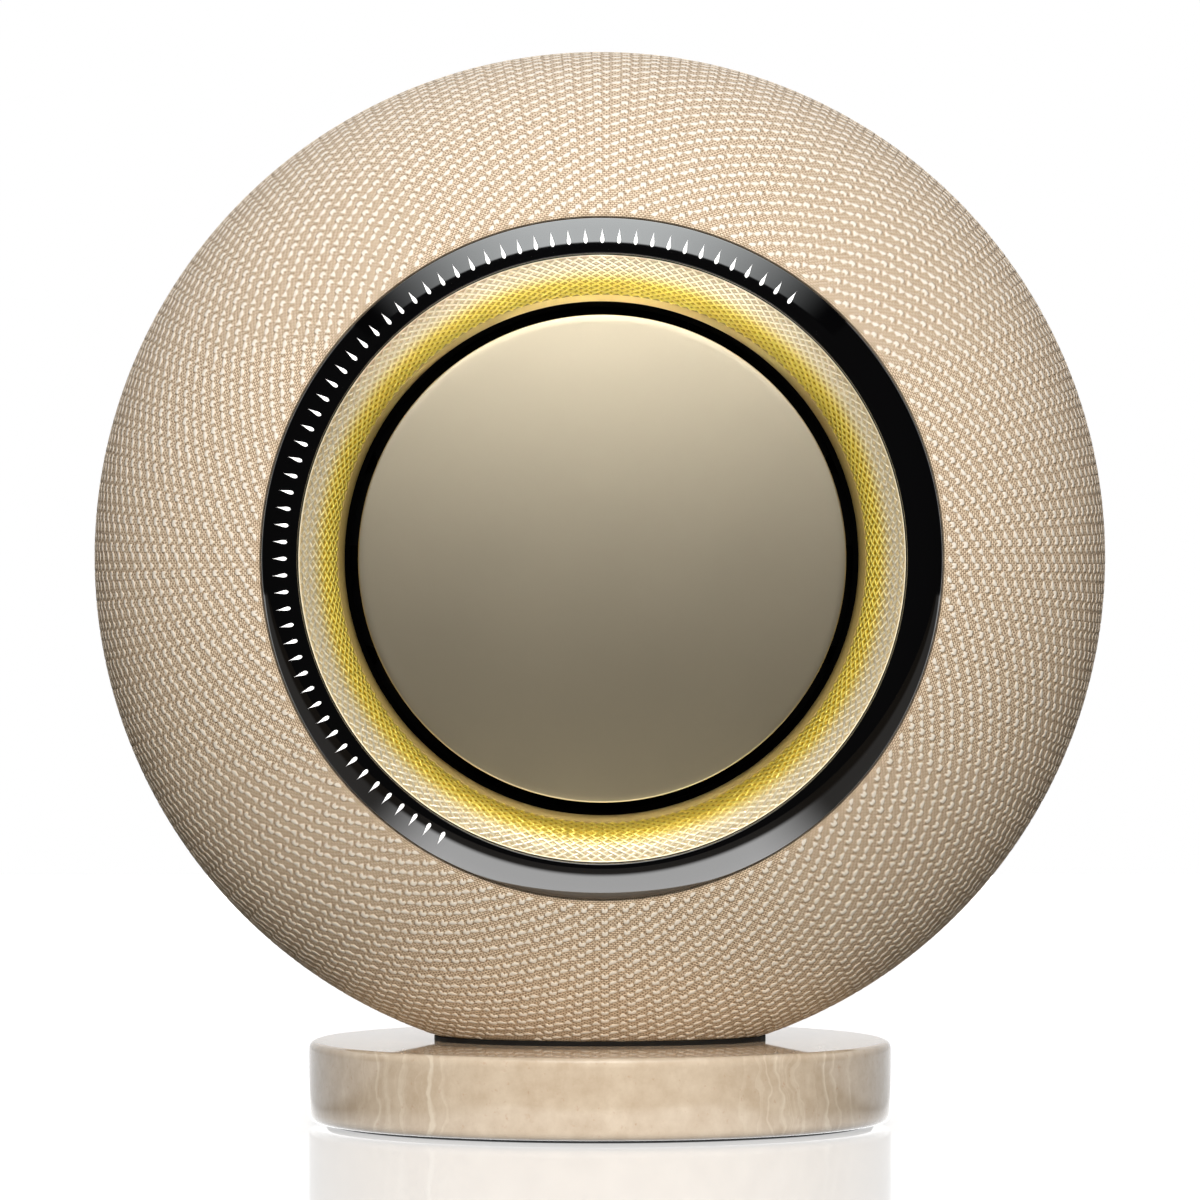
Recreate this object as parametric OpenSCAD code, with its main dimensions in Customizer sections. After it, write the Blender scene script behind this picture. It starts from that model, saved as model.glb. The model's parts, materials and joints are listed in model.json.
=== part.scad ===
// Smart speaker: a round fabric-covered body with a front volume ring, on a stone foot.
// Millimetres. +Z is up, the listener is at -Y, and the origin is the middle of the foot's underside.
// Inside the body, r is the distance from the front axis and f is the distance forward of the
// body's mid-plane, so a profile is drawn as [r, f] and turned by on_axis().

/* [Body] */
// Diameter of the fabric-covered body
body_d = 320; // [300:1:360]
// Depth from the mid-plane to the pole of the body's full ellipse
body_pole = 102.4; // [98:0.1:112]
// Thickness of the knitted cover
knit_t = 1.2; // [0.8:0.1:2]
// Wall of the two moulded shells
shell_t = 2.5; // [2:0.1:3.5]
// Compressed thickness of the gasket between the shells
seam_t = 1.2; // [0.8:0.1:2]
// Height of the slice that the flat cuts off the bottom of the body
flat_cut = 8.5; // [8:0.1:11]

/* [Foot] */
// Diameter of the stone foot
stone_d = 184.6; // [170:0.1:210]
// Thickness of the stone foot
stone_h = 25.4; // [20:0.1:35]
// Radius of the stone's rounded edges
stone_edge = 3; // [1:0.1:5]
// How far the rubber ring stands below the stone
rubber_proud = 1; // [0.5:0.1:2]
// Width of the rubber ring
rubber_w = 9; // [6:0.5:14]
// Visible gap between stone and fabric, filled by the neck
neck_gap = 1.5; // [1:0.1:4]
// Nominal diameter of the bolts that hold the foot
foot_bolt_d = 6; // [4:1:8]

/* [Volume ring] */
// Outer radius of the volume ring
dial_ro = 104.8; // [104:0.1:106]
// Inner radius of the volume ring
dial_ri = 93.7; // [93:0.1:94.5]
// Wall of the volume ring's gloss cap
dial_wall = 1.6; // [1.2:0.1:2]
// Running clearance between the ring's carrier and its glide ring
dial_clear = 0.08; // [0.03:0.01:0.2]
// Gap between the volume ring and the fabric
dial_gap = 0.6; // [0.4:0.1:0.8]
// How far the volume ring's front stands ahead of the fabric beside it
dial_proud = 7.3; // [6:0.1:9]
// Angle between two light marks
tick_pitch = 3; // [3:1:6]
// Angle of the first light mark, clockwise from the top
tick_first = 210; // [180:1:240]
// Arc that the light marks cover
tick_arc = 300; // [180:6:318]

/* [Front] */
// Radius of the centre plate
plate_r = 75; // [72:0.1:76]
// Thickness of the centre plate
plate_t = 2; // [1.5:0.1:3]
// How much higher the plate's middle is than its edge
plate_crown = 3.6; // [1:0.1:6]
// Radius of the gold grille's inner edge
throat_r = 79.6; // [79:0.1:81]
// Depth of the gold grille, from its rim to its inner edge
grille_depth = 19.4; // [12:0.1:22]
// Thickness of the gold mesh
mesh_t = 0.8; // [0.5:0.1:1.2]

/* [Woofer] */
// Radius of the woofer's flange
woofer_r = 82; // [80:0.1:84]
// Radius where the cone meets the surround
cone_r = 60; // [56:0.5:62]
// Radius of the voice coil's former, outside
coil_r = 17; // [14:0.5:20]
// Stroke of the woofer cone, each way
woofer_stroke = 7; // [4:0.5:8]
// Wall of the woofer's chamber
chamber_t = 3; // [2.5:0.1:4]

/* [Small drivers] */
// Flange radius of a midrange driver
mid_r = 22; // [20:0.5:22]
// Flange radius of a tweeter
tweeter_r = 16; // [14:0.5:18]
// Angle of the tweeters from the top
tweeter_angle = 35; // [30:1:42]
// Stroke of a midrange cone, each way
mid_stroke = 2.5; // [1:0.1:2.5]

/* [Back] */
// Radius of the rear panel
panel_r = 94.8; // [92:0.1:96]
// Thickness of the rear panel
panel_t = 3; // [2.5:0.1:4]
// Number of the heat sink's fins
fin_count = 15; // [9:2:19]
// Thickness of a heat sink fin
fin_t = 2; // [1.5:0.1:3]
// Travel of the pairing button
button_travel = 1.2; // [0.6:0.1:2]
// Travel of the microphone switch
switch_travel = 3; // [2:0.1:4]

/* [Hidden] */
$fn = 120;

fit = 0.1;          // clearance between still pieces that drop into each other
screw_fit = 0.05;   // clearance round a screw in its hole
eps = 1;            // how far a cutting shape runs past what it cuts
lens_step = 3.75;   // angle between the points of an ellipse
turn = 360;

// Heights along +Z
stone_bottom = rubber_proud;
stone_top = stone_bottom + stone_h;
flat_z = stone_top + neck_gap;
flat_drop = body_d / 2 - flat_cut;
axis_z = flat_z + flat_drop;
body_r = body_d / 2;
shell_out = knit_t + fit;       // depth of the shells' outer face under the fabric's face
shell_in = shell_out + shell_t; // depth of their inner face

// Height of the fabric over the mid-plane at radius r, to a tenth
function fabric_f(r) = round(10 * body_pole * sqrt(1 - pow(r / body_r, 2))) / 10;
// Normal at angle t of the body's ellipse, and the point d under its surface there
function normal(t) = let(n = [body_pole * cos(t), body_r * sin(t)]) n / norm(n);
function skin(t, d) = [body_r * cos(t), body_pole * sin(t)] - d * normal(t);

// Forward positions of the front pieces
dial_crest = fabric_f(dial_ro + dial_gap) + dial_proud;     // front of the volume ring
dial_arc_r = 16;                            // radius of the ring's domed face
dial_arc_c = [dial_ri - 0.8, dial_crest - dial_arc_r];
dial_edge_f = dial_crest - 10.5;            // bottom of the cap's walls
tick_top = dial_crest - 5.5;
guide_top = dial_crest - 9.5;
guide_f = dial_crest - 16.5;                // underside of the light guide, top of its board
lip_f = dial_crest - 16.5;                  // end of the fabric's tucked edge
frame_hole_f = dial_crest - 17.5;           // end of the holes for the frame's screws
rim_f = dial_crest - 4.3;                   // front of the gold rim
rim_t = 2;
rim_w = 0.6;
rim_ro = dial_ri - 0.3;
grille_ro = rim_ro - rim_w;
grille_top = rim_f - 0.4;
grille_base = grille_top - grille_depth;    // also the top of the throat ring
frame_t = 3;
frame_top = min(dial_crest - 25.5, grille_base - 1.4);      // front face of the frame's floor
frame_f = frame_top - frame_t;
plate_top = dial_crest - 0.3;
drum_floor = frame_top + 1;                 // drum that carries the centre plate
sensor_f = drum_floor + 12;
collar_ri = dial_ro + dial_gap + knit_t;    // inside of the front shell's collar
collar_ro = collar_ri + shell_t;
frame_boss_r = 4.5;
frame_boss_pcr = collar_ro + 2.2;

// Front chamber and woofer chamber: the surround clears the spokes' screws at full stroke
spoke_t = 3;
spoke_f = frame_f - spoke_t;
carrier_head_h = 1.4;
roll_r = 6;                                 // the surround's half roll
woofer_f = spoke_f - carrier_head_h - woofer_stroke - roll_r - 1.6;     // front of its flange
basket_f = woofer_f - 43;                   // bottom of the basket, top of the motor
top_plate_t = 6;
magnet_t = 16;
yoke_t = 6;
magnet_top = basket_f - top_plate_t;
yoke_top = magnet_top - magnet_t;
front_wall_ri = 93.5;
front_wall_ro = front_wall_ri + chamber_t;
ledge_f = woofer_f - 4;                     // the woofer sits on this face, on its gasket
ledge_t = 4;
tub_ri = woofer_r + 2;
tub_ro = tub_ri + chamber_t;
tub_f = yoke_top - yoke_t - 4;
tub_back_f = tub_f - chamber_t;
ear_r = 4;
ear_t = 4;
ear_pcr = front_wall_ro + 3;
ear_angles = [0, 60, 120, 180, 240, 300];

// Small drivers, both kinds set on the body's ellipse, clear of the collar
mid_t = acos((collar_ro + mid_r + 2.5) / body_r);
driver_depth = 7.5;
mount_wall = 3.5;
mid_angles = [90, 270];
tweeter_angles = [tweeter_angle, turn - tweeter_angle];
frame_angles = [for (i = [0:7]) 22.5 + 45 * i];

// Bosses that join the two shells, and their screws
boss_angles = [0, 62, 125, 235, 298];
boss_r = 5;
boss_pcr = body_r - 14;
boss_hole_f = 14;
shell_screw_r = 1.75;
screw_well_f = -14;
screw_well_r = 3.4;

// Metric screws that several pieces share
m3_r = 1.5;
m3_head_r = 2.8;
m3_head_h = 1.8;

// Back
back_f = -fabric_f(panel_r);                // rear face of the panel, flush with the fabric
panel_f = back_f + panel_t;
panel_gap = 0.4;
rear_lip_ri = panel_r + panel_gap;
rear_collar_ri = rear_lip_ri + knit_t;
rear_collar_ro = rear_collar_ri + shell_t;
rear_ledge_t = 3;
rear_ledge_ri = panel_r - 7;
panel_screw_pcr = panel_r - 3.6;
panel_angles = [0:60:300];
counterbore = 1.2;
window_gap = 0.4;                           // round each thing that shows through the panel
sink_size = [104, 50];
sink_at = [0, 32];
sink_plate_t = 4;
sockets_size = [86, 17];
sockets_at = [-8, -22];
// Size and sideways place of the network, video, data and optical sockets, then the line-in jack
sockets = [[[13, 10.5], -31], [[15.2, 5.4], -11], [[9.2, 3.4], 5.5], [[8.4, 8.4], 18.5]];
jack_r = 1.8;
jack_x = 33;
socket_depth = 14;
inlet_size = [27, 20];
inlet_hole = [24, 17];
inlet_at = [0, -62];
inlet_depth = 17;
pin_size = [2, 4];
pin_at = [[-7, 0], [0, 2.5], [7, 0]];
pin_l = 11;
button_r = 4;
button_at = [52, -12];
switch_at = [52, -30];
switch_size = [6, 6];

// ---------- placing ----------

// Puts a shape drawn round +Z onto the front axis, with its +Z towards the listener
module on_axis() translate([0, 0, axis_z]) rotate([90, 0, 0]) children();

// Copies children to radius r at each of the angles, clockwise from the top as the listener sees it
module round_axis(r, angles) for (a = angles) rotate([0, 0, -a]) translate([0, r, 0]) children();

// The place of a small driver: its flange's front is at z 0, and +Z leaves the body there
module at_driver(angles)
    let(c = skin(mid_t, driver_depth), n = normal(mid_t))
    on_axis() round_axis(c[0], angles) translate([0, 0, c[1]]) rotate([-atan2(n[0], n[1]), 0, 0]) children();

// ---------- shapes that repeat ----------

module ring(r0, r1, f0, f1) rotate_extrude() translate([r0, f0]) square([r1 - r0, f1 - f0]);
module disc(r, f0, f1) translate([0, 0, f0]) cylinder(r = r, h = f1 - f0);
module slab(size, at, f0, f1) translate([at[0] - size[0] / 2, at[1] - size[1] / 2, f0])
    cube([size[0], size[1], f1 - f0]);
module oval(half, h) linear_extrude(h)
    polygon([for (a = [0:7.5:352.5]) [half[0] * cos(a), half[1] * sin(a)]]);

// A screw whose head's underside is at z 0, with its shank pointing down to -length
module screw(r, length, head_r, head_h) {
    translate([0, 0, -length]) cylinder(r = r - screw_fit, h = length + head_h / 2);
    difference() {
        cylinder(r = head_r, h = head_h);
        translate([0, 0, head_h * 0.45]) cylinder(r = head_r * 0.5, h = head_h, $fn = 6);
    }
}

// The whole body as a solid, d under the fabric's surface
module lens(d) rotate_extrude() polygon(
    [for (t = [90:-lens_step:-90]) let(p = skin(t, d)) [max(0, p[0]), p[1]]]);

module bottom_cut() translate([-body_r, -body_r * 2 - flat_drop, -body_r]) cube(body_r * 2);
module front_half(f) translate([-body_r, -body_r, f]) cube(body_r * 2);
module rear_half(f) translate([-body_r, -body_r, f - body_r * 2]) cube(body_r * 2);

// ---------- foot ----------

plate_recess_r = 62;
plate_recess_h = 7;
rubber_ro = stone_d / 2 - stone_edge - 3;
rubber_seat = 1.5;
foot_bolt_r = foot_bolt_d / 2;
bolt_head_h = 4;
// Half sizes of the oval that the flat cuts from a body of radius r and pole depth p
function flat_oval(r, p) = sqrt(r * r - flat_drop * flat_drop) * [1, p / r];
neck_oval = flat_oval(body_r, body_pole) + [1.1, 0.6];
neck_core = flat_oval(body_r - shell_in, body_pole - shell_in) - [1, 1];
bolt_edge = [10.5, 12.5];           // from the core's ends to the bolts
bolt_off = neck_core - bolt_edge;
saddle_bottom = flat_z + 1.5;
saddle_h = 9;
bolt_l = saddle_bottom + saddle_h - stone_bottom - bolt_head_h - 2;

module at_bolts(z) for (x = [-1, 1], y = [-1, 1])
    translate([x * bolt_off[0], y * bolt_off[1], z]) children();
module bolt_holes(r, z, h) at_bolts(z) cylinder(r = r, h = h);

module stone_section() {
    square([stone_d / 2 - stone_edge, stone_h]);
    translate([0, stone_edge]) square([stone_d / 2, stone_h - 2 * stone_edge]);
    for (z = [stone_edge, stone_h - stone_edge]) translate([stone_d / 2 - stone_edge, z]) circle(stone_edge);
}

module stone_foot() color("tan") difference() {
    translate([0, 0, stone_bottom]) rotate_extrude() intersection() {
        stone_section();
        square([stone_d, stone_h]);
    }
    translate([0, 0, stone_bottom - eps]) cylinder(r = plate_recess_r + fit, h = plate_recess_h + eps);
    ring(rubber_ro - rubber_w - fit, rubber_ro + fit, stone_bottom - eps, stone_bottom + rubber_seat);
    bolt_holes(foot_bolt_r + 0.3, stone_bottom, stone_h + eps);
}

module foot_plate() color("dimgray") difference() {
    translate([0, 0, stone_bottom + 0.5]) cylinder(r = plate_recess_r, h = plate_recess_h - 0.5);
    bolt_holes(foot_bolt_r + 0.3, 0, stone_top);
    bolt_holes(foot_bolt_r + 2.4, 0, stone_bottom + 0.5 + bolt_head_h);
}

module rubber_ring() color("black")
    ring(rubber_ro - rubber_w, rubber_ro, 0, stone_bottom + rubber_seat);

module foot_bolts() color("silver") at_bolts(stone_bottom + 0.5 + bolt_head_h) rotate([180, 0, 0])
    screw(foot_bolt_r, bolt_l, foot_bolt_r + 2, bolt_head_h - 0.5);

module neck() color("black") difference() {
    union() {
        translate([0, 0, stone_top]) oval(neck_oval, neck_gap);
        translate([0, 0, stone_top]) oval(neck_core, saddle_bottom - stone_top);
    }
    bolt_holes(foot_bolt_r + 0.3, stone_top - eps, neck_gap + stone_h);
}

// Die-cast saddle that fills the bottom of the shells and takes the foot's bolts
module saddle() color("gray") difference() {
    union() {
        intersection() {
            on_axis() lens(shell_in + fit);
            translate([-body_r, -body_r, saddle_bottom]) cube([body_d, body_d, saddle_h]);
        }
        at_power_posts() disc(power_post_r, -power_post_h - 2, 0);
    }
    bolt_holes(foot_bolt_r, saddle_bottom - eps, saddle_h + 2 * eps);
    at_power_posts() disc(m3_r, -short_screw_l - 1, eps);
}

// ---------- body ----------

module knit_cover() color("wheat") on_axis() {
    difference() {
        lens(0);
        lens(knit_t);
        cylinder(r = collar_ri - knit_t / 2, h = body_r);
        rotate([180, 0, 0]) cylinder(r = rear_collar_ri - knit_t / 2, h = body_r);
        bottom_cut();
    }
    // tucked edges, front and back
    intersection() {
        lens(0);
        ring(dial_ro + dial_gap, collar_ri, lip_f, body_r);
    }
    intersection() {
        lens(0);
        ring(rear_lip_ri, rear_collar_ri, -body_r, panel_f - fit);
    }
}

// Shell wall between two depths under the fabric, without its front or rear half
module shell_wall() difference() {
    lens(shell_out);
    lens(shell_in);
    bottom_cut();
}

module shell_bosses(f0, f1) intersection() {
    lens(shell_out + shell_t / 2);
    round_axis(boss_pcr, boss_angles) disc(boss_r, f0, f1);
}

module front_shell() color("beige") difference() {
    union() {
        on_axis() difference() {
            shell_wall();
            rear_half(seam_t / 2);
            cylinder(r = collar_ri, h = body_r);
        }
        on_axis() intersection() {
            lens(shell_out + fit);
            union() {
                ring(collar_ri, collar_ro, frame_top, body_r);
                round_axis(frame_boss_pcr, frame_angles) disc(frame_boss_r, frame_top, body_r);
            }
        }
        on_axis() shell_bosses(seam_t / 2, body_r);
        intersection() {
            on_axis() lens(shell_out + shell_t / 2);
            union() {
                at_driver(mid_angles) ring(mid_open, mid_r, 0, mount_reach);
                at_driver(tweeter_angles) ring(tweeter_open, tweeter_r, 0, mount_reach);
            }
        }
    }
    on_axis() disc(collar_ri, 0, body_r);
    on_axis() round_axis(boss_pcr, boss_angles) disc(shell_screw_r, -eps, boss_hole_f);
    on_axis() round_axis(frame_boss_pcr, frame_angles) disc(m3_r, frame_top - eps, frame_hole_f);
    at_driver(mid_angles) disc(mid_open, 0, mount_reach);
    at_driver(tweeter_angles) disc(tweeter_open, 0, mount_reach);
    at_driver(mid_angles) at_small_screws(mid_r) disc(small_screw_r, -eps, small_hole);
    at_driver(tweeter_angles) at_small_screws(tweeter_r) disc(small_screw_r, -eps, small_hole);
}

module rear_shell() color("beige") on_axis() difference() {
    union() {
        difference() {
            shell_wall();
            front_half(-seam_t / 2);
            rotate([180, 0, 0]) cylinder(r = rear_collar_ri, h = body_r);
        }
        intersection() {
            lens(shell_out + fit);
            union() {
                ring(rear_collar_ri, rear_collar_ro, -body_r, panel_f + rear_ledge_t);
                ring(rear_ledge_ri, rear_collar_ro, panel_f, panel_f + rear_ledge_t);
            }
        }
        shell_bosses(-body_r, -seam_t / 2);
    }
    round_axis(boss_pcr, boss_angles) {
        disc(shell_screw_r + fit, screw_well_f - eps, eps);
        disc(screw_well_r, -body_r, screw_well_f);
    }
    round_axis(panel_screw_pcr, panel_angles) disc(m3_r, panel_f - eps, panel_f + rear_ledge_t + eps);
}

module seam_gasket() color("black") on_axis() difference() {
    ring(body_r - shell_in + fit, body_r - shell_out - fit, -seam_t / 2, seam_t / 2);
    bottom_cut();
}

module shell_screws() color("silver") on_axis() round_axis(boss_pcr, boss_angles)
    translate([0, 0, screw_well_f]) rotate([180, 0, 0])
        screw(shell_screw_r, boss_hole_f - screw_well_f - 2, screw_well_r - 0.4, 2);

// ---------- front frame and volume ring ----------

throat_ring = [throat_r - 1.6, throat_r + 2.6];
rim_wall = 2.2;                             // wall that carries the gold rim
window_out = min(front_wall_ri, rim_ro - rim_wall);     // the windows lie between the two walls
window_r = (window_out - throat_ring[1]) / 2 - 0.6;
window_pcr = (throat_ring[1] + window_out) / 2;
window_pitch = 10;
board_shelf = 2;                            // shelf under the light board
board_t = 1.6;

module front_frame() color("black") on_axis() difference() {
    union() {
        ring(throat_ring[0], collar_ro, frame_f, frame_top);
        ring(throat_ring[0], throat_ring[1], frame_f, grille_base);
        ring(rim_ro - rim_wall, rim_ro, frame_f, grille_seat_f);
        ring(grille_ro + 0.1, rim_ro, grille_seat_f - eps, rim_f - rim_t);
        ring(rim_ro - eps, rim_ro + board_shelf, frame_top, guide_f - board_t);
        round_axis(frame_boss_pcr, frame_angles) disc(frame_boss_r, frame_f, frame_top);
    }
    round_axis(window_pcr, [0:window_pitch:turn - window_pitch])
        disc(window_r, frame_f - eps, frame_top + eps);
    round_axis(frame_boss_pcr, frame_angles) disc(m3_r, frame_f - eps, frame_top + eps);
    round_axis(ear_pcr, ear_angles) disc(m3_r, frame_f - eps, frame_top - 0.6);
    round_axis(pad_pcr, pad_angles) disc(pad_screw_r, frame_f - eps, frame_top + 0.6);
}

module frame_screws() color("silver") on_axis() round_axis(frame_boss_pcr, frame_angles)
    translate([0, 0, frame_f]) rotate([180, 0, 0])
        screw(m3_r, frame_hole_f - frame_f - 1, m3_head_r, m3_head_h);

carrier_t = 2.1;
carrier_ri = dial_ro - carrier_t;
magnet_ring = [3, 3];                        // width and height
guide_ri = dial_ri + dial_wall + 0.6;
guide_ro = carrier_ri - 0.7;
tick_mid_r = (guide_ri + guide_ro) / 2;
tick_out = 3;                                // from the mark's middle to its outer point
tick_in = 2;
tick_w = 1.2;
arc_steps = 12;

// The ring's domed face, d under its surface, and its angle at radius r
function dial_arc(a, d) = dial_arc_c + (dial_arc_r - d) * [sin(a), cos(a)];
function dial_angle(r, d) = asin((r - dial_arc_c[0]) / (dial_arc_r - d));

module dial_section(r0, r1, d, f0) let(a0 = dial_angle(r0, d), a1 = dial_angle(r1, d)) polygon(concat(
    [[r1, f0], [r0, f0]],
    [for (i = [0:arc_steps]) dial_arc(a0 + (a1 - a0) * i / arc_steps, d)]));

module dial_ring() color("#101010") on_axis() rotate_extrude() difference() {
    dial_section(dial_ri, dial_ro, 0, dial_edge_f);
    dial_section(dial_ri + dial_wall, dial_ro - dial_wall, dial_wall, dial_edge_f - eps);
}

module dial_carrier() color("dimgray") on_axis() ring(carrier_ri, dial_ro, frame_top + 1.2, dial_edge_f);

module dial_magnet_ring() color("gray") on_axis() translate([0, 0, frame_top + 2])
    ring(carrier_ri - magnet_ring[0], carrier_ri, 0, magnet_ring[1]);

module glide_ring() color("white") on_axis()
    ring(dial_ro + dial_clear, collar_ri, frame_top + 1.5, lip_f - 0.5);

// A mark with a long point outwards and a short one inwards
module teardrop() polygon(
    [[0, tick_out], [-tick_w / 2, -tick_in / 2], [0, -tick_in], [tick_w / 2, -tick_in / 2]]);

module tick_light_guide() color("white") on_axis() {
    ring(guide_ri, guide_ro, guide_f, guide_top);
    round_axis(tick_mid_r, [for (a = [0:tick_pitch:tick_arc]) tick_first + a])
        translate([0, 0, guide_top - 0.1]) linear_extrude(tick_top - guide_top + 0.1) teardrop();
}

module tick_led_board() color("green") on_axis() ring(rim_ro + fit, guide_ro, guide_f - board_t, guide_f);

// ---------- gold grille ----------

roll_step = 6;
cloth_t = 0.5;
grille_seat_f = grille_top - mesh_t - cloth_t - 0.8;    // top of the wall behind the grille's rim

// Quarter-ellipse roll, d under its face: steep at the throat and flat at the rim
function roll(a, d) =
    [grille_ro - (grille_ro - throat_r - d) * cos(a), grille_base + (grille_depth - d) * sin(a)];
module roll_shell(d0, d1) rotate_extrude() polygon(concat(
    [for (a = [0:roll_step:90]) roll(a, d0)],
    [for (a = [90:-roll_step:0]) roll(a, d1)]));

module gold_grille() color("gold") on_axis() roll_shell(0, mesh_t);
module acoustic_cloth() color("goldenrod") on_axis() roll_shell(mesh_t, mesh_t + cloth_t);
module gold_rim() color("gold") on_axis() ring(grille_ro, rim_ro, rim_f - rim_t, rim_f);

// ---------- centre plate ----------

plate_sphere = (pow(plate_r, 2) + pow(plate_crown, 2)) / (2 * plate_crown);
drum_r = plate_r - 2.2;
drum_t = 2;
hub = [drum_r - 12, drum_r - 10];            // ring that joins the drum to its spokes
post_r = 3;
post_pcr = 50;
post_angles = [0:60:300];
sensor_r = 66;
spoke_w = 8;
pad_pcr = throat_r + 0.5;
pad_angles = [for (i = [0:5]) 30 + 60 * i];
pad_screw_r = 1.25;
function plate_face(i) = let(r = plate_r * i / arc_steps)
    [r, plate_top - plate_sphere + sqrt(pow(plate_sphere, 2) - r * r)];
function plate_back(i) = plate_face(i) - [0, plate_t];

module centre_plate() color("tan") on_axis() rotate_extrude() polygon(concat(
    [for (i = [0:arc_steps]) plate_face(i)],
    [for (i = [arc_steps:-1:0]) plate_back(i)]));

// Everything in front of the plate's back face
module before_plate_back() rotate_extrude() polygon(concat(
    [for (i = [0:arc_steps]) plate_back(i)],
    [[plate_r, plate_top + eps], [0, plate_top + eps]]));

module plate_carrier() color("black") on_axis() difference() {
    union() {
        ring(drum_r - drum_t, drum_r, drum_floor, plate_top);
        disc(drum_r, drum_floor, drum_floor + drum_t);
        ring(hub[0], hub[1], spoke_f, drum_floor + eps);
        round_axis(0, pad_angles) translate([-spoke_w / 2, hub[0], spoke_f])
            cube([spoke_w, pad_pcr + 2 - hub[0], spoke_t]);
        // posts that carry the board on their shoulders and the plate on their ends
        round_axis(post_pcr, post_angles) {
            disc(post_r, drum_floor, plate_top);
            disc(post_r + 1.5, drum_floor, sensor_f);
        }
    }
    before_plate_back();
    round_axis(pad_pcr, pad_angles) disc(pad_screw_r + 0.2, spoke_f - eps, frame_f + eps);
}

module carrier_screws() color("silver") on_axis() round_axis(pad_pcr, pad_angles)
    translate([0, 0, spoke_f]) rotate([180, 0, 0])
        screw(pad_screw_r, spoke_t + frame_t, 2.2, carrier_head_h);

module sensor_board() color("green") on_axis() difference() {
    disc(sensor_r, sensor_f, sensor_f + board_t);
    round_axis(post_pcr, post_angles) disc(post_r + fit, drum_floor, plate_top);
}

// ---------- woofer ----------

flange_t = 3;
surround_t = 0.8;
flange_ri = cone_r + 2 * roll_r;
chamber_lip = flange_ri + 3;
basket_r = 46;
basket_t = 2;
basket_window = 22;
window_rim = 3;                              // left in front of each window, behind the flange
window_foot = 2;
pole_r = coil_r - 0.9;
pole_vent_r = 4;
gap_ro = coil_r + 1.2;
magnet_ro = 50;
magnet_gap = 6;                             // between the coil and the magnet
cone_t = 1.2;
cone_steps = 10;
neck_f = basket_f + 15;                      // where the cone meets the former
spider_f = basket_f + 10;
spider_ro = 44;
spider_t = 0.5;
former_t = 0.5;
winding_t = 0.7;
winding_h = 11;
winding_above = 2.5;                        // how far the winding stands in front of the basket
former_below = 9;
cap_lap = 6;                                // how far the dust cap reaches past the coil
cap_r = coil_r + cap_lap;
cap_rise = 5;
cap_sphere = 55;
woofer_screw_r = 2;
woofer_screw_pcr = woofer_r - 3.2;
woofer_screw_angles = [for (i = [0:7]) 22.5 + 45 * i];

module woofer_chamber() color("dimgray") on_axis() difference() {
    union() {
        ring(tub_ri, tub_ro, tub_f, ledge_f);
        disc(tub_ro, tub_back_f, tub_f);
        ring(chamber_lip, front_wall_ro, ledge_f - ledge_t, ledge_f);
        ring(front_wall_ri, front_wall_ro, ledge_f - ledge_t, frame_f);
        round_axis(ear_pcr, ear_angles) disc(ear_r, frame_f - ear_t, frame_f);
        // posts for the circuit boards
        at_board_posts() disc(board_post_r, board_f, tub_back_f + eps);
    }
    at_board_posts() disc(m3_r, board_f - eps, board_f + short_screw_l + 2);
    round_axis(ear_pcr, ear_angles) disc(m3_r + fit, frame_f - ear_t - eps, frame_f + eps);
    round_axis(woofer_screw_pcr, woofer_screw_angles)
        disc(woofer_screw_r, ledge_f - ledge_t - eps, ledge_f + eps);
    disc(front_wall_ri, ledge_f, frame_f + eps);
}

module woofer_gasket() color("black") on_axis() difference() {
    ring(chamber_lip, woofer_r, ledge_f, woofer_f - flange_t);
    round_axis(woofer_screw_pcr, woofer_screw_angles) disc(woofer_screw_r + fit, ledge_f - eps, woofer_f);
}

module woofer_basket() color("gray") on_axis() difference() {
    union() {
        ring(flange_ri, woofer_r, woofer_f - flange_t, woofer_f);
        rotate_extrude() polygon([[flange_ri, woofer_f], [flange_ri + basket_t, woofer_f - flange_t],
            [basket_r + basket_t, basket_f], [basket_r, basket_f], [flange_ri - 0.6, woofer_f - flange_t]]);
        ring(gap_ro + 2, basket_r + basket_t, basket_f, basket_f + basket_t);
        ring(spider_ro - 2, basket_r + basket_t + 1, basket_f, spider_f);
    }
    for (a = [0:60:300]) rotate([0, 0, a]) slab([basket_window, woofer_r], [0, woofer_r / 2],
        spider_f + window_foot, woofer_f - flange_t - window_rim - 1);
    round_axis(woofer_screw_pcr, woofer_screw_angles) disc(woofer_screw_r + fit, 0, woofer_f + eps);
}

module woofer_poles() color("silver") on_axis() {
    ring(gap_ro, basket_r, magnet_top, basket_f);
    difference() {
        union() {
            disc(basket_r, yoke_top - yoke_t, yoke_top);
            disc(pole_r, yoke_top - eps, basket_f);
        }
        disc(pole_vent_r, -body_r, basket_f + eps);
    }
}

module woofer_magnet() color("#333333") on_axis()
    ring(coil_r + magnet_gap, magnet_ro, yoke_top, magnet_top);

module voice_coil() color("peru") on_axis() {
    ring(coil_r - former_t, coil_r, basket_f - former_below, neck_f + 1);
    ring(coil_r, coil_r + winding_t, basket_f + winding_above - winding_h, basket_f + winding_above);
}

// Slightly flared cone, from the former to the surround
function cone_pt(r) = [r, neck_f + (woofer_f - 0.2 - neck_f) * pow((r - coil_r) / (cone_r - coil_r), 0.85)];
function cone_radius(i) = coil_r + (cone_r - coil_r) * i / cone_steps;

module woofer_cone() color("#222222") on_axis() rotate_extrude() polygon(concat(
    [for (i = [0:cone_steps]) cone_pt(cone_radius(i))],
    [for (i = [cone_steps:-1:0]) cone_pt(cone_radius(i)) - [0, cone_t]]));

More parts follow.
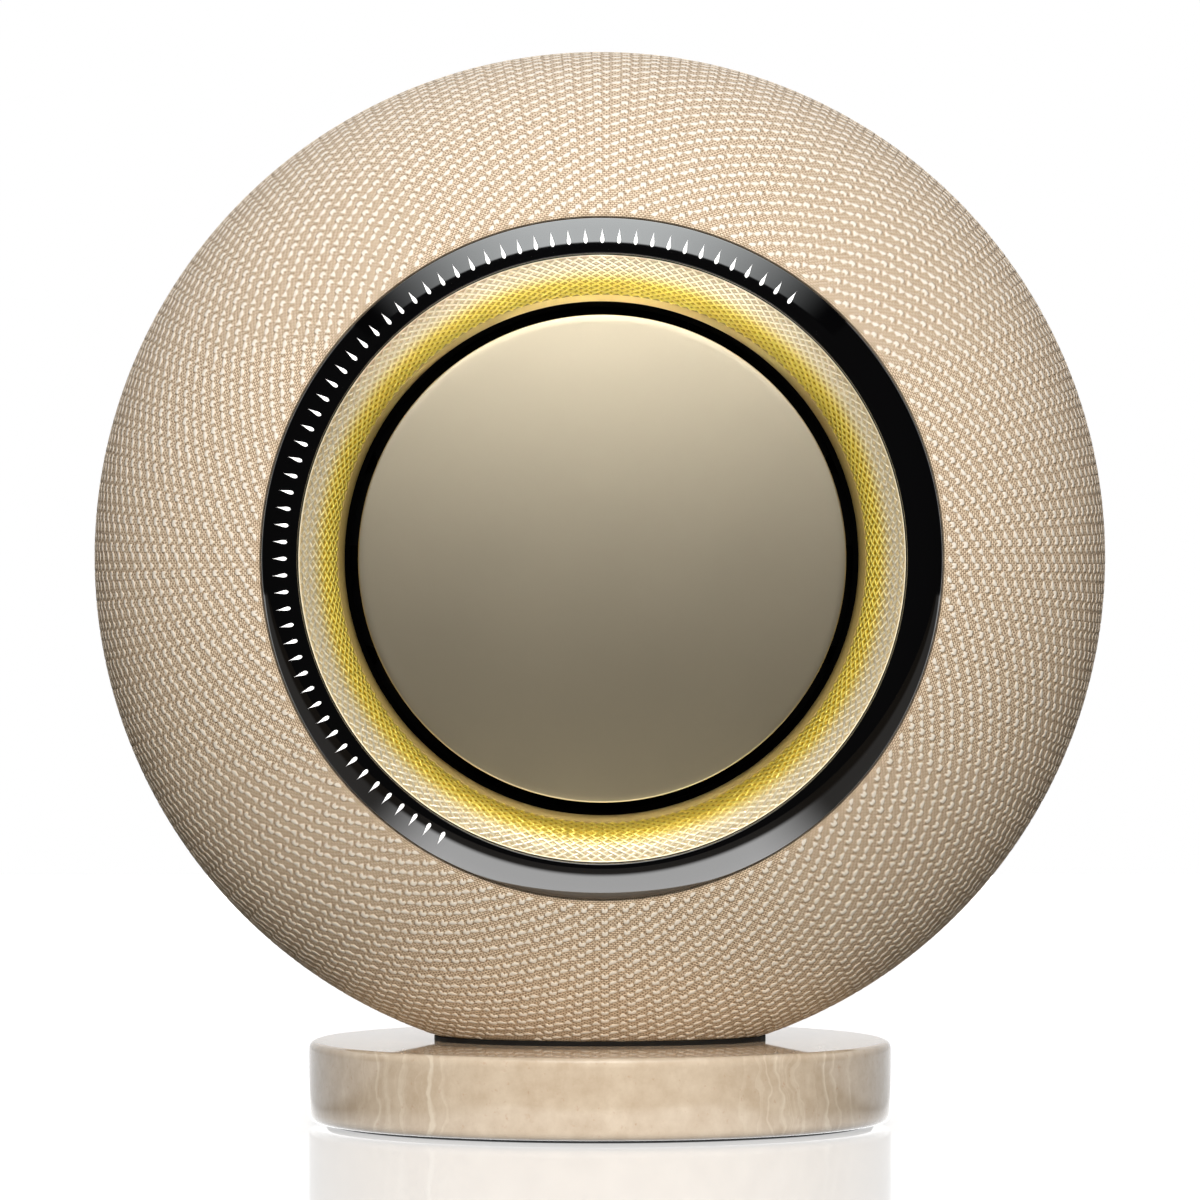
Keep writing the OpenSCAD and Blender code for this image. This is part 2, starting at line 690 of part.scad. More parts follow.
// Shallow dome whose edge stands on the cone
module woofer_dust_cap() color("#222222") on_axis() let(top = cone_pt(cap_r)[1] + cap_rise)
    difference() {
        intersection() {
            translate([0, 0, top - cap_sphere]) sphere(r = cap_sphere);
            disc(cap_r, cone_pt(cap_r)[1] + 0.05, top + eps);
        }
        translate([0, 0, top - cap_sphere]) sphere(r = cap_sphere - 1);
    }

module half_roll(r_mid, f, r_out, r_in) intersection() {
    translate([r_mid, f]) difference() {
        circle(r_out);
        circle(r_in);
    }
    translate([0, f]) square([body_r, r_out]);
}

module woofer_surround() color("black") on_axis() rotate_extrude() {
    half_roll(cone_r + roll_r, woofer_f, roll_r, roll_r - surround_t);
    translate([flange_ri - 0.4, woofer_f]) square([woofer_screw_pcr - 3.2 - flange_ri, surround_t]);
}

// Corrugated centring ring
spider_steps = 48;
spider_wave = 1.2;
function spider_pt(i, h) = [coil_r + (spider_ro - coil_r) * i / spider_steps,
    spider_f + spider_wave * (1.05 + sin(i * 45)) + h];
module woofer_spider() color("darkgoldenrod") on_axis() rotate_extrude() polygon(concat(
    [for (i = [0:spider_steps]) spider_pt(i, spider_t)],
    [for (i = [spider_steps:-1:0]) spider_pt(i, 0)]));

module woofer_screws() color("#202020") on_axis() round_axis(woofer_screw_pcr, woofer_screw_angles)
    translate([0, 0, woofer_f]) screw(woofer_screw_r, 7, 3, 2);

// ---------- small drivers ----------

small_flange_t = 2;
small_ledge_t = 1.4;
small_screw_r = 1;
small_screw_angles = [45, 135, 225, 315];
small_hole = 3.6;
mount_reach = 16;                            // far enough to pass the shell
mid_open = mid_r - mount_wall;
mid_roll = 1.7;
mid_roll_t = 0.5;
mid_cone_r = mid_open - 0.9 - 2 * mid_roll;
mid_coil_r = 6.6;
mid_coil_t = 0.4;
mid_cone_t = 0.6;
mid_back = -12;                              // back of the basket, front of the magnet
mid_magnet_r = 13;
mid_coil_l = 3.5;                            // how far the coil reaches into the magnet
mid_magnet_t = mid_coil_l + mid_stroke + 3;
mid_gap = 0.8;
tweeter_open = tweeter_r - mount_wall;
tweeter_web_t = 0.8;
tweeter_depth = 12;
dome_r = 18.6;
dome_t = 0.5;

module at_small_screws(r) round_axis(r - mount_wall / 2, small_screw_angles) children();

module mid_baskets() color("#303030") at_driver(mid_angles) let(ledge = -small_flange_t - small_ledge_t)
    difference() {
        union() {
            ring(mid_open, mid_r, -small_flange_t, 0);
            ring(mid_open - 1.5, mid_r, ledge, -small_flange_t);
            rotate_extrude() polygon([[mid_open - 1.5, ledge], [mid_open, ledge],
                [mid_magnet_r, mid_back], [mid_magnet_r - 2.5, mid_back],
                [mid_magnet_r - 2.5, mid_back + 1.2], [mid_magnet_r - 1, mid_back + 1.2]]);
        }
        at_small_screws(mid_r) disc(small_screw_r + fit, ledge - eps, eps);
    }

module mid_magnets() color("#333333") at_driver(mid_angles) {
    difference() {
        disc(mid_magnet_r, mid_back - mid_magnet_t, mid_back);
        disc(mid_coil_r + mid_gap, mid_back - mid_magnet_t + 2, mid_back + eps);
    }
    disc(mid_coil_r - mid_coil_t - mid_gap / 2, mid_back - mid_magnet_t + 2, mid_back);
}

// Cone, centre dome and coil former in one shell
module mid_cone(angle) color("#222222") at_driver([angle]) let(base = -small_flange_t - mid_cone_t) {
    ring(mid_coil_r - mid_coil_t, mid_coil_r, mid_back - mid_coil_l, base - 5);
    rotate_extrude() polygon([[mid_coil_r - mid_coil_t, base - 5.8], [mid_cone_r, base],
        [mid_cone_r, -small_flange_t], [mid_coil_r, base - 4.8], [mid_coil_r * 0.6, base - 3.3],
        [0, base - 2.8], [0, base - 2.8 - mid_cone_t], [mid_coil_r * 0.6, base - 3.3 - mid_cone_t],
        [mid_coil_r - mid_coil_t, base - 5.2]]);
}
module mid_cone_right() mid_cone(mid_angles[0]);
module mid_cone_left() mid_cone(mid_angles[1]);

module mid_surround(angle) color("black") at_driver([angle]) rotate_extrude() {
    half_roll(mid_cone_r + mid_roll, -small_flange_t, mid_roll, mid_roll - mid_roll_t);
    translate([mid_cone_r + 2 * mid_roll - 0.3, -small_flange_t]) square([1.1, mid_roll_t]);
}
module mid_surround_right() mid_surround(mid_angles[0]);
module mid_surround_left() mid_surround(mid_angles[1]);

module tweeter_plates() color("#303030") at_driver(tweeter_angles) difference() {
    union() {
        ring(tweeter_open, tweeter_r, -small_flange_t, 0);
        ring(tweeter_open - 1, tweeter_r, -small_flange_t - tweeter_web_t, -small_flange_t);
    }
    at_small_screws(tweeter_r) disc(small_screw_r + fit, -small_flange_t - tweeter_web_t - eps, eps);
}

module tweeter_domes() color("black") at_driver(tweeter_angles) rotate_extrude() difference() {
    intersection() {
        translate([0, 4 - dome_r]) circle(dome_r);
        translate([0, -small_flange_t]) square([tweeter_open, 8]);
    }
    translate([0, 4 - dome_r - dome_t + 0.1]) circle(dome_r - 0.1);
}

module tweeter_magnets() color("#333333") at_driver(tweeter_angles)
    disc(tweeter_open - 0.5, -tweeter_depth, -small_flange_t - tweeter_web_t);

module small_screw(head_z) translate([0, 0, head_z]) rotate([180, 0, 0])
    screw(small_screw_r, small_hole - 0.6 - head_z, 1.8, 1.3);

module driver_screws() color("silver") {
    at_driver(mid_angles) at_small_screws(mid_r) small_screw(-small_flange_t - small_ledge_t);
    at_driver(tweeter_angles) at_small_screws(tweeter_r) small_screw(-small_flange_t - tweeter_web_t);
}

// ---------- back ----------

board_f = back_f + 20.5;                     // front of the amplifier board
board_mid = 4;
board_size = [134, 92];
board_inset = 6;
board_post = board_size / 2 - board_inset * [1, 1];
board_post_r = 3.5;
amp_f = board_f - board_t;
switch_rest = switch_at - [0, switch_travel / 2];
short_screw_l = 6;
power_size = [100, 60];
power_post = power_size / 2 - board_inset * [1, 1];
power_post_r = 4;
power_post_h = 6;
power_z = saddle_bottom + saddle_h + power_post_h;    // underside of the power board
transformer_size = [34, 30];
transformer_at = [21, 0];
transformer_h = 26;
capacitor_r = 8;
amp_cap_at = [[-44, 20], [-24, 20], [24, 20], [44, 20]];
power_cap_at = [[-36, -10], [-36, 10], [-18, -10], [-18, 10]];
power_cap_h = 25;
cap_gap = 5;                                 // between the amplifier's capacitors and the chamber
sink_boss = [46, 18];
fin_pitch = (sink_size[0] - fin_t) / (fin_count - 1);
recess = 0.2;                                // how far the sockets lie behind the panel's face

module panel_window(size, at) slab(size + 2 * window_gap * [1, 1], at, back_f - eps, panel_f + eps);

module rear_panel() color("black") on_axis() difference() {
    disc(panel_r, back_f, panel_f);
    panel_window(sink_size, sink_at);
    panel_window(sockets_size, sockets_at);
    panel_window(inlet_size, inlet_at);
    panel_window(switch_size + [0, switch_travel], switch_at);
    translate(button_at) disc(button_r + window_gap, back_f - eps, panel_f + eps);
    round_axis(panel_screw_pcr, panel_angles) {
        disc(m3_r + fit, back_f - eps, panel_f + eps);
        disc(m3_head_r + window_gap, back_f - eps, back_f + counterbore);
    }
}

module panel_screws() color("#202020") on_axis() round_axis(panel_screw_pcr, panel_angles)
    translate([0, 0, back_f + counterbore]) rotate([180, 0, 0])
        screw(m3_r, panel_t + rear_ledge_t - counterbore, m3_head_r, counterbore - 0.1);

module heat_sink() color("#3a3a3a") on_axis() {
    slab(sink_size + [8, 8], sink_at, panel_f, panel_f + sink_plate_t);
    slab(sink_boss, sink_at, panel_f + eps, amp_f);
    for (i = [0:fin_count - 1])
        slab([fin_t, sink_size[1]], sink_at + [(i - (fin_count - 1) / 2) * fin_pitch, 0],
            back_f + recess, panel_f + eps);
}

module at_board_posts() for (x = [-1, 1], y = [-1, 1])
    translate([x * board_post[0], y * board_post[1] + board_mid, 0]) children();
module at_power_posts() for (x = [-1, 1], y = [-1, 1])
    translate([x * power_post[0], y * power_post[1], power_z]) children();

module amp_board() color("green") on_axis() difference() {
    slab(board_size, [0, board_mid], amp_f, board_f);
    at_board_posts() disc(m3_r + fit, amp_f - eps, board_f + eps);
}

module power_board() color("green") difference() {
    slab(power_size, [0, 0], power_z, power_z + board_t);
    at_power_posts() disc(m3_r + fit, -eps, board_t + eps);
}

// The one short screw that holds the chamber's ears and both boards
module short_screw() screw(m3_r, short_screw_l, m3_head_r, m3_head_h);

module inner_screws() color("silver") {
    on_axis() round_axis(ear_pcr, ear_angles)
        translate([0, 0, frame_f - ear_t]) rotate([180, 0, 0]) short_screw();
    on_axis() at_board_posts() translate([0, 0, amp_f]) rotate([180, 0, 0]) short_screw();
    at_power_posts() translate([0, 0, board_t]) short_screw();
}

module capacitors() color("#202840") {
    on_axis() for (at = amp_cap_at) translate(at) disc(capacitor_r, board_f, tub_back_f - cap_gap);
    translate([0, 0, power_z + board_t])
        for (at = power_cap_at) translate(at) disc(capacitor_r, 0, power_cap_h);
}

module transformer() color("goldenrod") translate([0, 0, power_z + board_t])
    slab(transformer_size, transformer_at, 0, transformer_h);

module socket_block() color("#181818") on_axis() difference() {
    slab(sockets_size, sockets_at, back_f + recess, amp_f);
    for (socket = sockets)
        slab(socket[0], sockets_at + [socket[1], 0], back_f, back_f + socket_depth);
    translate(sockets_at + [jack_x, 0]) disc(jack_r, back_f, back_f + socket_depth);
}

module power_inlet() color("#181818") on_axis() difference() {
    union() {
        slab(inlet_size, inlet_at, back_f + recess, back_f + inlet_depth + 2);
        slab(inlet_size + [8, 5], inlet_at, panel_f, panel_f + 2);
    }
    slab(inlet_hole, inlet_at, back_f, back_f + inlet_depth);
}

module inlet_pins() color("silver") on_axis() for (at = pin_at)
    slab(pin_size, inlet_at + at, back_f + inlet_depth - pin_l, back_f + inlet_depth);

module pair_button() color("dimgray") on_axis() translate(button_at) {
    disc(button_r, back_f, panel_f + eps);
    disc(button_r + 1.2, panel_f, panel_f + eps);
    disc(2, panel_f, amp_f - button_travel - recess);
}

module mic_switch() color("dimgray") on_axis() {
    slab(switch_size, switch_rest, back_f + recess, panel_f + eps);
    slab(switch_size + [3, 2 * switch_travel + 2], switch_rest, panel_f, panel_f + 1.5);
    slab([3, 3], switch_rest, panel_f, amp_f - recess);
}

// ---------- the assembly ----------

stone_foot();
foot_plate();
rubber_ring();
foot_bolts();
neck();
saddle();
knit_cover();
front_shell();
rear_shell();
seam_gasket();
shell_screws();
front_frame();
frame_screws();
dial_ring();
dial_carrier();
dial_magnet_ring();
glide_ring();
tick_light_guide();
tick_led_board();
gold_grille();
gold_rim();
acoustic_cloth();
centre_plate();
plate_carrier();
carrier_screws();
sensor_board();
woofer_chamber();
inner_screws();
woofer_basket();
woofer_gasket();
woofer_magnet();
woofer_poles();
woofer_cone();
woofer_dust_cap();
voice_coil();
woofer_surround();
woofer_spider();
woofer_screws();
mid_baskets();
mid_magnets();
mid_cone_left();
mid_cone_right();
mid_surround_left();
mid_surround_right();
tweeter_plates();
tweeter_domes();
tweeter_magnets();
driver_screws();
rear_panel();
panel_screws();
heat_sink();
amp_board();
power_board();
capacitors();
transformer();
socket_block();
power_inlet();
inlet_pins();
pair_button();
mic_switch();
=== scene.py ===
# %% [markdown]
# # A smart speaker, dressed for its portrait
# The speaker is a round body in knitted fabric, standing on a stone foot. In the middle of its
# front, from the outside in, are a black lacquered volume ring with lit marks, a gold mesh roll, a
# black gap and a champagne metal plate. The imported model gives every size. This notebook gives each
# piece its real surface, and replaces the plain solids that the eye sees.

import json
import math

import bmesh
import bpy
import numpy as np

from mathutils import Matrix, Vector

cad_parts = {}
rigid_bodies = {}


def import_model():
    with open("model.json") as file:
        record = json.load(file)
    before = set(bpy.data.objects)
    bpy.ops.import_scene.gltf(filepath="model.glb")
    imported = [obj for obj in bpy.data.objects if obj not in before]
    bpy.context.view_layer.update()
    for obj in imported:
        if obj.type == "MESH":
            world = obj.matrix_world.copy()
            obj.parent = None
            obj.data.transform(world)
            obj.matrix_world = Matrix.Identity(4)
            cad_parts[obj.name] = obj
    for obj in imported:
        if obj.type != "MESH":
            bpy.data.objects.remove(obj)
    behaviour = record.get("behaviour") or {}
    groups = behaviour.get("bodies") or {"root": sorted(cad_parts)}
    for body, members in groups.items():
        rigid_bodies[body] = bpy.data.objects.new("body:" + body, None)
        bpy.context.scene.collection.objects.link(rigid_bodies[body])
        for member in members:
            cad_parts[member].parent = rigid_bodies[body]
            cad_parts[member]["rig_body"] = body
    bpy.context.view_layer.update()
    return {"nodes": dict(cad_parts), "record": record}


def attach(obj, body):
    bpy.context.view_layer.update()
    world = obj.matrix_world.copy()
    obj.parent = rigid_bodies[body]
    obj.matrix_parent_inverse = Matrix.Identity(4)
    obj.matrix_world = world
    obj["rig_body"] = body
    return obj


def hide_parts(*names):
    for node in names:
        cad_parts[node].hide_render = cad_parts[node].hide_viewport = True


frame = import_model()

# %% [markdown]
# ## One way of measuring
# Nearly everything in the body turns about one axis, which runs from the back to the front at a
# height of 179.4 mm. So a place is given as on a lathe drawing: r is the distance from the axis, f
# is the distance in front of the body's mid-plane, and an angle runs clockwise from the top, as the
# listener sees it. Lengths are in millimetres until they become Blender's metres.

# %% Lathe coordinates
MM = 0.001
AXIS_Z = 179.4
BODY_R = 160.0
BODY_POLE = 102.4
KNIT_T = 1.2


def place(r, angle, f):
    """The point in metres at r and f millimetres, and an angle in radians."""
    return r * np.sin(angle) * MM, -f * MM, (AXIS_Z + r * np.cos(angle)) * MM


def upright(r, angle, z):
    """The same for a piece that turns about the vertical axis, with z as its height."""
    return r * np.sin(angle) * MM, r * np.cos(angle) * MM, z * MM


def skin(t, depth=0.0):
    """The [r, f] point at angle t of the body's ellipse, depth under its surface."""
    n = np.array([BODY_POLE * math.cos(t), BODY_R * math.sin(t)])
    return np.array([BODY_R * math.cos(t), BODY_POLE * math.sin(t)]) - depth * n / np.linalg.norm(n)


def skin_angle(r):
    """The ellipse angle at which the front surface has radius r."""
    return math.acos(r / BODY_R)


print("the skin at the volume ring's edge:", skin(skin_angle(105.95)).round(2))

# %% [markdown]
# ## Turned pieces
# A turned piece is a closed outline in [r, f], swept round the axis. Its corners are rounded first,
# because a real edge is never sharp and its small highlight is what makes it look made. Each piece
# carries a UV map: u is the share of the turn, and v the share of the way along the outline.

# %% Helpers for turned pieces


def rounded(points, radius, steps=4):
    """The closed outline with its corners cut back by radius and rounded."""
    points = [np.array(p, float) for p in points]
    radii = radius if hasattr(radius, "__len__") else [radius] * len(points)
    out = []
    for i, (p, cut) in enumerate(zip(points, radii)):
        if not cut:
            out.append(p)
            continue
        before, after = points[i - 1] - p, points[(i + 1) % len(points)] - p
        a = p + before * min(cut / np.linalg.norm(before), 0.49)
        b = p + after * min(cut / np.linalg.norm(after), 0.49)
        for k in range(steps + 1):
            s = k / steps
            out.append((1 - s) ** 2 * a + 2 * s * (1 - s) * p + s * s * b)
    return np.array(out)


def link(name, mesh):
    obj = bpy.data.objects.new(name, mesh)
    bpy.context.scene.collection.objects.link(obj)
    return obj


def tidy(mesh, closed=True, sharp=35):
    """Merges doubles, turns a closed shell's faces outwards and shades it smooth up to an angle."""
    bm = bmesh.new()
    bm.from_mesh(mesh)
    bmesh.ops.remove_doubles(bm, verts=bm.verts, dist=1e-7)
    if closed:
        bmesh.ops.recalc_face_normals(bm, faces=bm.faces)
    bm.to_mesh(mesh)
    bm.free()
    mesh.shade_smooth()
    mesh.set_sharp_from_angle(angle=math.radians(sharp))


def applied(obj):
    """Makes what the modifiers show the piece's own mesh, and takes the modifiers off."""
    bpy.context.view_layer.update()
    obj.data = bpy.data.meshes.new_from_object(obj.evaluated_get(bpy.context.evaluated_depsgraph_get()))
    obj.modifiers.clear()


def turned(name, outline, steps=360, sharp=35, where=place):
    """A closed outline of [r, f] points swept round the axis, with its UV map."""
    outline = np.asarray(outline, float)
    n = len(outline)
    angle = np.arange(steps) * 2 * math.pi / steps
    spots = where(outline[None, :, 0], angle[:, None], outline[None, :, 1])
    verts = np.stack(np.broadcast_arrays(*spots), -1).reshape(-1, 3)
    i, j = np.meshgrid(np.arange(steps), np.arange(n), indexing="ij")
    i2, j2 = (i + 1) % steps, (j + 1) % n
    faces = np.stack([i * n + j, i2 * n + j, i2 * n + j2, i * n + j2], -1).reshape(-1, 4)
    length = np.r_[0, np.cumsum(np.linalg.norm(np.diff(np.r_[outline, outline[:1]], axis=0), axis=1))]
    length /= length[-1]
    u0, u1 = i / steps, (i + 1) / steps
    v0, v1 = length[j], length[j + 1]
    uv = np.stack([np.stack(p, -1) for p in ((u0, v0), (u1, v0), (u1, v1), (u0, v1))], 2)
    mesh = bpy.data.meshes.new(name)
    mesh.from_pydata(verts.tolist(), [], faces.tolist())
    mesh.uv_layers.new(name="UVMap").data.foreach_set("uv", uv.reshape(-1))
    tidy(mesh, sharp=sharp)
    return link(name, mesh)


def finish_piece(obj, body, slot, material, *nodes):
    """Gives the piece its material and its body, and hides the CAD nodes that it stands for. The slot is not used."""
    if material is not None:
        obj.data.materials.clear()
        obj.data.materials.append(material)
    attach(obj, body)
    if nodes:
        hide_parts(*nodes)
    print(f"{obj.name}: {sum(len(p.vertices) - 2 for p in obj.data.polygons)} triangles")
    return obj


# %% [markdown]
# ## Finishes
# Each finish is a material with its own Principled shader. What several finishes share, such as a
# fine grain or a soft unevenness, is a node group that puts out a mask or a normal. All of them read
# Object coordinates, or the piece's own UV map where the pattern follows the surface.

# %% Helpers for node trees


def add(tree, kind, inputs=None, **settings):
    """A node of that kind with its settings, and its inputs set to values or linked to sockets."""
    node = tree.nodes.new(kind)
    for key, value in settings.items():
        setattr(node, key, value)
    for key, value in (inputs or {}).items():
        socket = node.inputs[key]
        if isinstance(value, bpy.types.NodeSocket):
            tree.links.new(value, socket)
        else:
            socket.default_value = value
    return node


def sums(tree, operation, a, b=0.0, c=0.0, clamp=False):
    """A Math node's result, for sockets or numbers, in shader and geometry trees alike."""
    node = tree.nodes.new("ShaderNodeMath")
    node.operation = operation
    node.use_clamp = clamp
    for socket, value in zip(node.inputs, (a, b, c)):
        if isinstance(value, bpy.types.NodeSocket):
            tree.links.new(value, socket)
        else:
            socket.default_value = value
    return node.outputs[0]


def times(tree, a, b):
    return sums(tree, "MULTIPLY", a, b)


def plus(tree, a, b):
    return sums(tree, "ADD", a, b)


def minus(tree, a, b, clamp=False):
    return sums(tree, "SUBTRACT", a, b, clamp=clamp)


def times_plus(tree, a, b, c):
    """a times b plus c."""
    return sums(tree, "MULTIPLY_ADD", a, b, c)


def apart(tree, vector):
    """A vector's X, Y and Z outputs."""
    return add(tree, "ShaderNodeSeparateXYZ", {"Vector": vector}).outputs


def vector(tree, **parts):
    """The vector of the given X, Y and Z, each a socket or a number."""
    return add(tree, "ShaderNodeCombineXYZ", parts).outputs[0]


def position_in(tree):
    return add(tree, "GeometryNodeInputPosition").outputs[0]


def index_in(tree):
    return add(tree, "GeometryNodeInputIndex").outputs[0]


def painted(tree, geometry, material, output):
    """Gives the geometry its material and puts it out."""
    node = add(tree, "GeometryNodeSetMaterial", {"Geometry": geometry, "Material": material})
    tree.links.new(node.outputs[0], output)


def object_place(tree):
    return add(tree, "ShaderNodeTexCoord").outputs["Object"]


def noise(tree, scale, detail=2.0, roughness=0.5):
    """A noise over the piece itself, from 0 to 1."""
    return add(tree, "ShaderNodeTexNoise", {"Vector": object_place(tree), "Scale": scale, "Detail": detail,
                                            "Roughness": roughness}).outputs["Fac"]


def bumped(tree, bsdf, height, strength, distance, invert=False):
    """Links a bump made from a height to the shader's normal."""
    node = add(tree, "ShaderNodeBump", {"Height": height, "Strength": strength, "Distance": distance}, invert=invert)
    tree.links.new(node.outputs["Normal"], bsdf.inputs["Normal"])


def ramped(tree, value, lo, hi, a, b):
    """Value carried smoothly from the range lo to hi onto the range a to b."""
    node = add(tree, "ShaderNodeMapRange", {0: value, 1: lo, 2: hi, 3: a, 4: b}, interpolation_type="SMOOTHSTEP")
    return node.outputs[0]


def mixed(tree, factor, a, b, how="MIX"):
    """The colour that a Mix node makes of a and b, each a colour or a socket."""
    node = tree.nodes.new("ShaderNodeMix")
    node.data_type, node.blend_type = "RGBA", how
    for socket, value in ((node.inputs[0], factor), (node.inputs[6], a), (node.inputs[7], b)):
        if isinstance(value, bpy.types.NodeSocket):
            tree.links.new(value, socket)
        else:
            socket.default_value = value
    return node.outputs[2]


def group(name, kind, inputs, outputs):
    """A new node group, its inputs and its outputs. Each label has a number, or the name of its kind of socket."""
    tree = bpy.data.node_groups.new(name, kind)
    for in_out, sockets in (("INPUT", inputs), ("OUTPUT", outputs)):
        for label, value in sockets.items():
            said = value if isinstance(value, str) else "Int" if isinstance(value, int) else "Float"
            socket = tree.interface.new_socket(name=label, in_out=in_out, socket_type="NodeSocket" + said)
            if not isinstance(value, str):
                socket.default_value = value
    return tree, tree.nodes.new("NodeGroupInput").outputs, tree.nodes.new("NodeGroupOutput").inputs


def linear(r, g, b):
    """A colour as a screen shows it, 0 to 255, as Blender's linear values."""
    return tuple(((c / 255 + 0.055) / 1.055) ** 2.4 if c > 10 else c / 255 / 12.92 for c in (r, g, b)) + (1.0,)


def finish(name, colour, roughness, metallic=0.0, **shader):
    """A material with the given plain values on its Principled shader, and its tree."""
    mat = bpy.data.materials.new(name)
    mat.use_nodes = True
    tree = mat.node_tree
    bsdf = tree.nodes["Principled BSDF"]
    bsdf.inputs["Base Color"].default_value = colour
    bsdf.inputs["Roughness"].default_value = roughness
    bsdf.inputs["Metallic"].default_value = metallic
    for key, value in shader.items():
        bsdf.inputs[key.replace("_", " ")].default_value = value
    return mat, tree, bsdf


# %% [markdown]
# ### Fine grain
# Bead-blasted metal, moulded plastic, rubber and powder coat differ mostly in the size and depth of
# one fine grain. One group makes it, with a slower unevenness that also moves the roughness, so that
# no large face answers the light like a mirror-flat computer surface.

# %% The grain group
grain, g_in, g_out = group(
    "Fine grain", "ShaderNodeTree",
    {"Grain size": 0.4, "Depth": 0.2, "Roughness": 0.4, "Unevenness": 0.08},
    {"Roughness": "Float", "Normal": "Vector"})
fine = noise(grain, sums(grain, "DIVIDE", 1.0 / MM, g_in["Grain size"]), roughness=0.6)
swing = times(grain, minus(grain, noise(grain, 40.0, 3.0), 0.5), g_in["Unevenness"])
grain.links.new(sums(grain, "ADD", g_in["Roughness"], swing, clamp=True), g_out["Roughness"])
bump = add(grain, "ShaderNodeBump",
           {"Height": fine, "Strength": g_in["Depth"], "Distance": 0.1 * MM})
grain.links.new(bump.outputs["Normal"], g_out["Normal"])
print("group", grain.name)


def grained(name, colour, roughness, metallic=0.0, size=0.4, depth=0.2, uneven=0.08, **shader):
    """A finish with the fine grain on it, and an uneven roughness unless uneven is 0."""
    mat, tree, bsdf = finish(name, colour, roughness, metallic, **shader)
    node = add(tree, "ShaderNodeGroup", node_tree=grain)
    for label, value in (("Grain size", size), ("Depth", depth), ("Roughness", roughness), ("Unevenness", uneven)):
        node.inputs[label].default_value = value
    if uneven:
        tree.links.new(node.outputs["Roughness"], bsdf.inputs["Roughness"])
    tree.links.new(node.outputs["Normal"], bsdf.inputs["Normal"])
    return mat


# %% [markdown]
# ### Plain finishes of the small pieces
# The pieces that a listener hardly sees, such as the back's mouldings, screws and the boards inside,
# take grained finishes straight from a table. Their CAD solids keep their shapes.

# %% Finishes for the CAD pieces
# slot: name, colour, roughness, metallic, grain size, grain depth
FINISHES = {
    "fasteners": ("Zinc-plated steel", (190, 190, 192), 0.28, 1.0, 0.3, 0.1),
    "black_fasteners": ("Black oxide steel", (40, 40, 41), 0.35, 1.0, 0.3, 0.15),
    "foot_steel": ("Powder-coated steel", (30, 30, 32), 0.5, 0.0, 0.6, 0.5),
    "rubber": ("Matt rubber", (24, 24, 24), 0.75, 0.0, 0.5, 0.4),
    "black_aluminium": ("Black anodised aluminium", (34, 34, 36), 0.38, 1.0, 0.25, 0.35),
    "cast_metal": ("Die-cast metal", (165, 167, 170), 0.45, 1.0, 0.8, 0.5),
    "shell_plastic": ("Tan moulded shell", (186, 160, 130), 0.5, 0.0, 0.5, 0.4),
    "bearing_plastic": ("Acetal", (225, 225, 218), 0.4, 0.0, 0.4, 0.2),
    "circuit_board": ("Solder mask", (20, 92, 50), 0.25, 0.0, 1.2, 0.3),
    "magnet": ("Ferrite", (52, 52, 54), 0.7, 0.0, 0.5, 0.5),
    "paper_cone": ("Coated paper pulp", (34, 34, 36), 0.7, 0.0, 0.6, 0.8),
    "copper": ("Enamelled copper", (190, 105, 60), 0.3, 1.0, 0.3, 0.3),
    "acoustic_cloth": ("Fine dark cloth", (60, 46, 20), 0.9, 0.0, 0.5, 1.0),
    "spider_cloth": ("Treated cotton", (170, 135, 80), 0.9, 0.0, 0.5, 1.0),
    "dome_silk": ("Doped silk", (26, 26, 28), 0.5, 0.0, 0.4, 0.6),
    "capacitor_can": ("Capacitor sleeve", (38, 48, 92), 0.35, 0.0, 0.6, 0.1),
    "contact_metal": ("Nickel-plated brass", (205, 198, 182), 0.25, 1.0, 0.3, 0.1),
    "transformer_core": ("Varnished laminations", (74, 62, 50), 0.4, 0.5, 0.8, 0.5),
}
by_slot = {slot: grained(name, linear(*rgb), *values) for slot, (name, rgb, *values) in FINISHES.items()}
moulding_black = grained("Black moulding", linear(22, 22, 23), 0.5, 0.0, 0.35, 0.5, Specular_IOR_Level=0.3)
# near-black with almost no reflection: painted shade of the deep gap, put on the black mouldings there
gap_shade_black = grained("Painted shade of the gap", linear(2, 2, 2), 0.9, 0.0, 0.35, 0.3, Specular_IOR_Level=0.05)
cast_black = grained("Black-coated casting", linear(13, 13, 14), 0.8, 0.0, 0.8, 0.4, Specular_IOR_Level=0.2)
by_slot |= {"black_plastic": moulding_black, "black_casting": cast_black, "soft_iron": by_slot["fasteners"]}
node_slot = {row["node"]: row["material_slot"] for row in frame["record"]["subparts"]}
for name, obj in frame["nodes"].items():
    obj.data.materials.clear()
    obj.data.materials.append(by_slot.get(node_slot[name], moulding_black))
print("slots without a table row:", sorted(set(node_slot.values()) - set(by_slot)))

# %% [markdown]
# ## The knitted cover
# The cover is a jacquard knit. A tan and brown ground runs all round, and cream yarn floats over it in
# short stitches. Each row of floats is set a little further round than the last, so that together
# they read as stripes winding outwards. There are 530 wales, or columns of stitches, round the body,
# and the pattern repeats every five of them. The ground's courses are 0.73 mm apart. A float covers
# two of them, and three rows of floats make up one repeat.
#
# The ground is one turned skin with a tucked edge at the front and the back, cut flat where the body
# meets its neck. Its stitches are too small to model one by one, so a material draws them from the UV
# map, which counts wales and courses. The floats stand up from the ground, so they are real yarn.

# %% The cover's outline
WALES = 530
REPEAT = 5
COURSE = 0.7267
FLOAT_ROW = 2 * COURSE
SHIFT = REPEAT / 3
FRONT_R, FRONT_TUCK = 105.05, 67.8
REAR_R, REAR_TUCK = 95.2, -79.6
FLAT_Z = 27.9

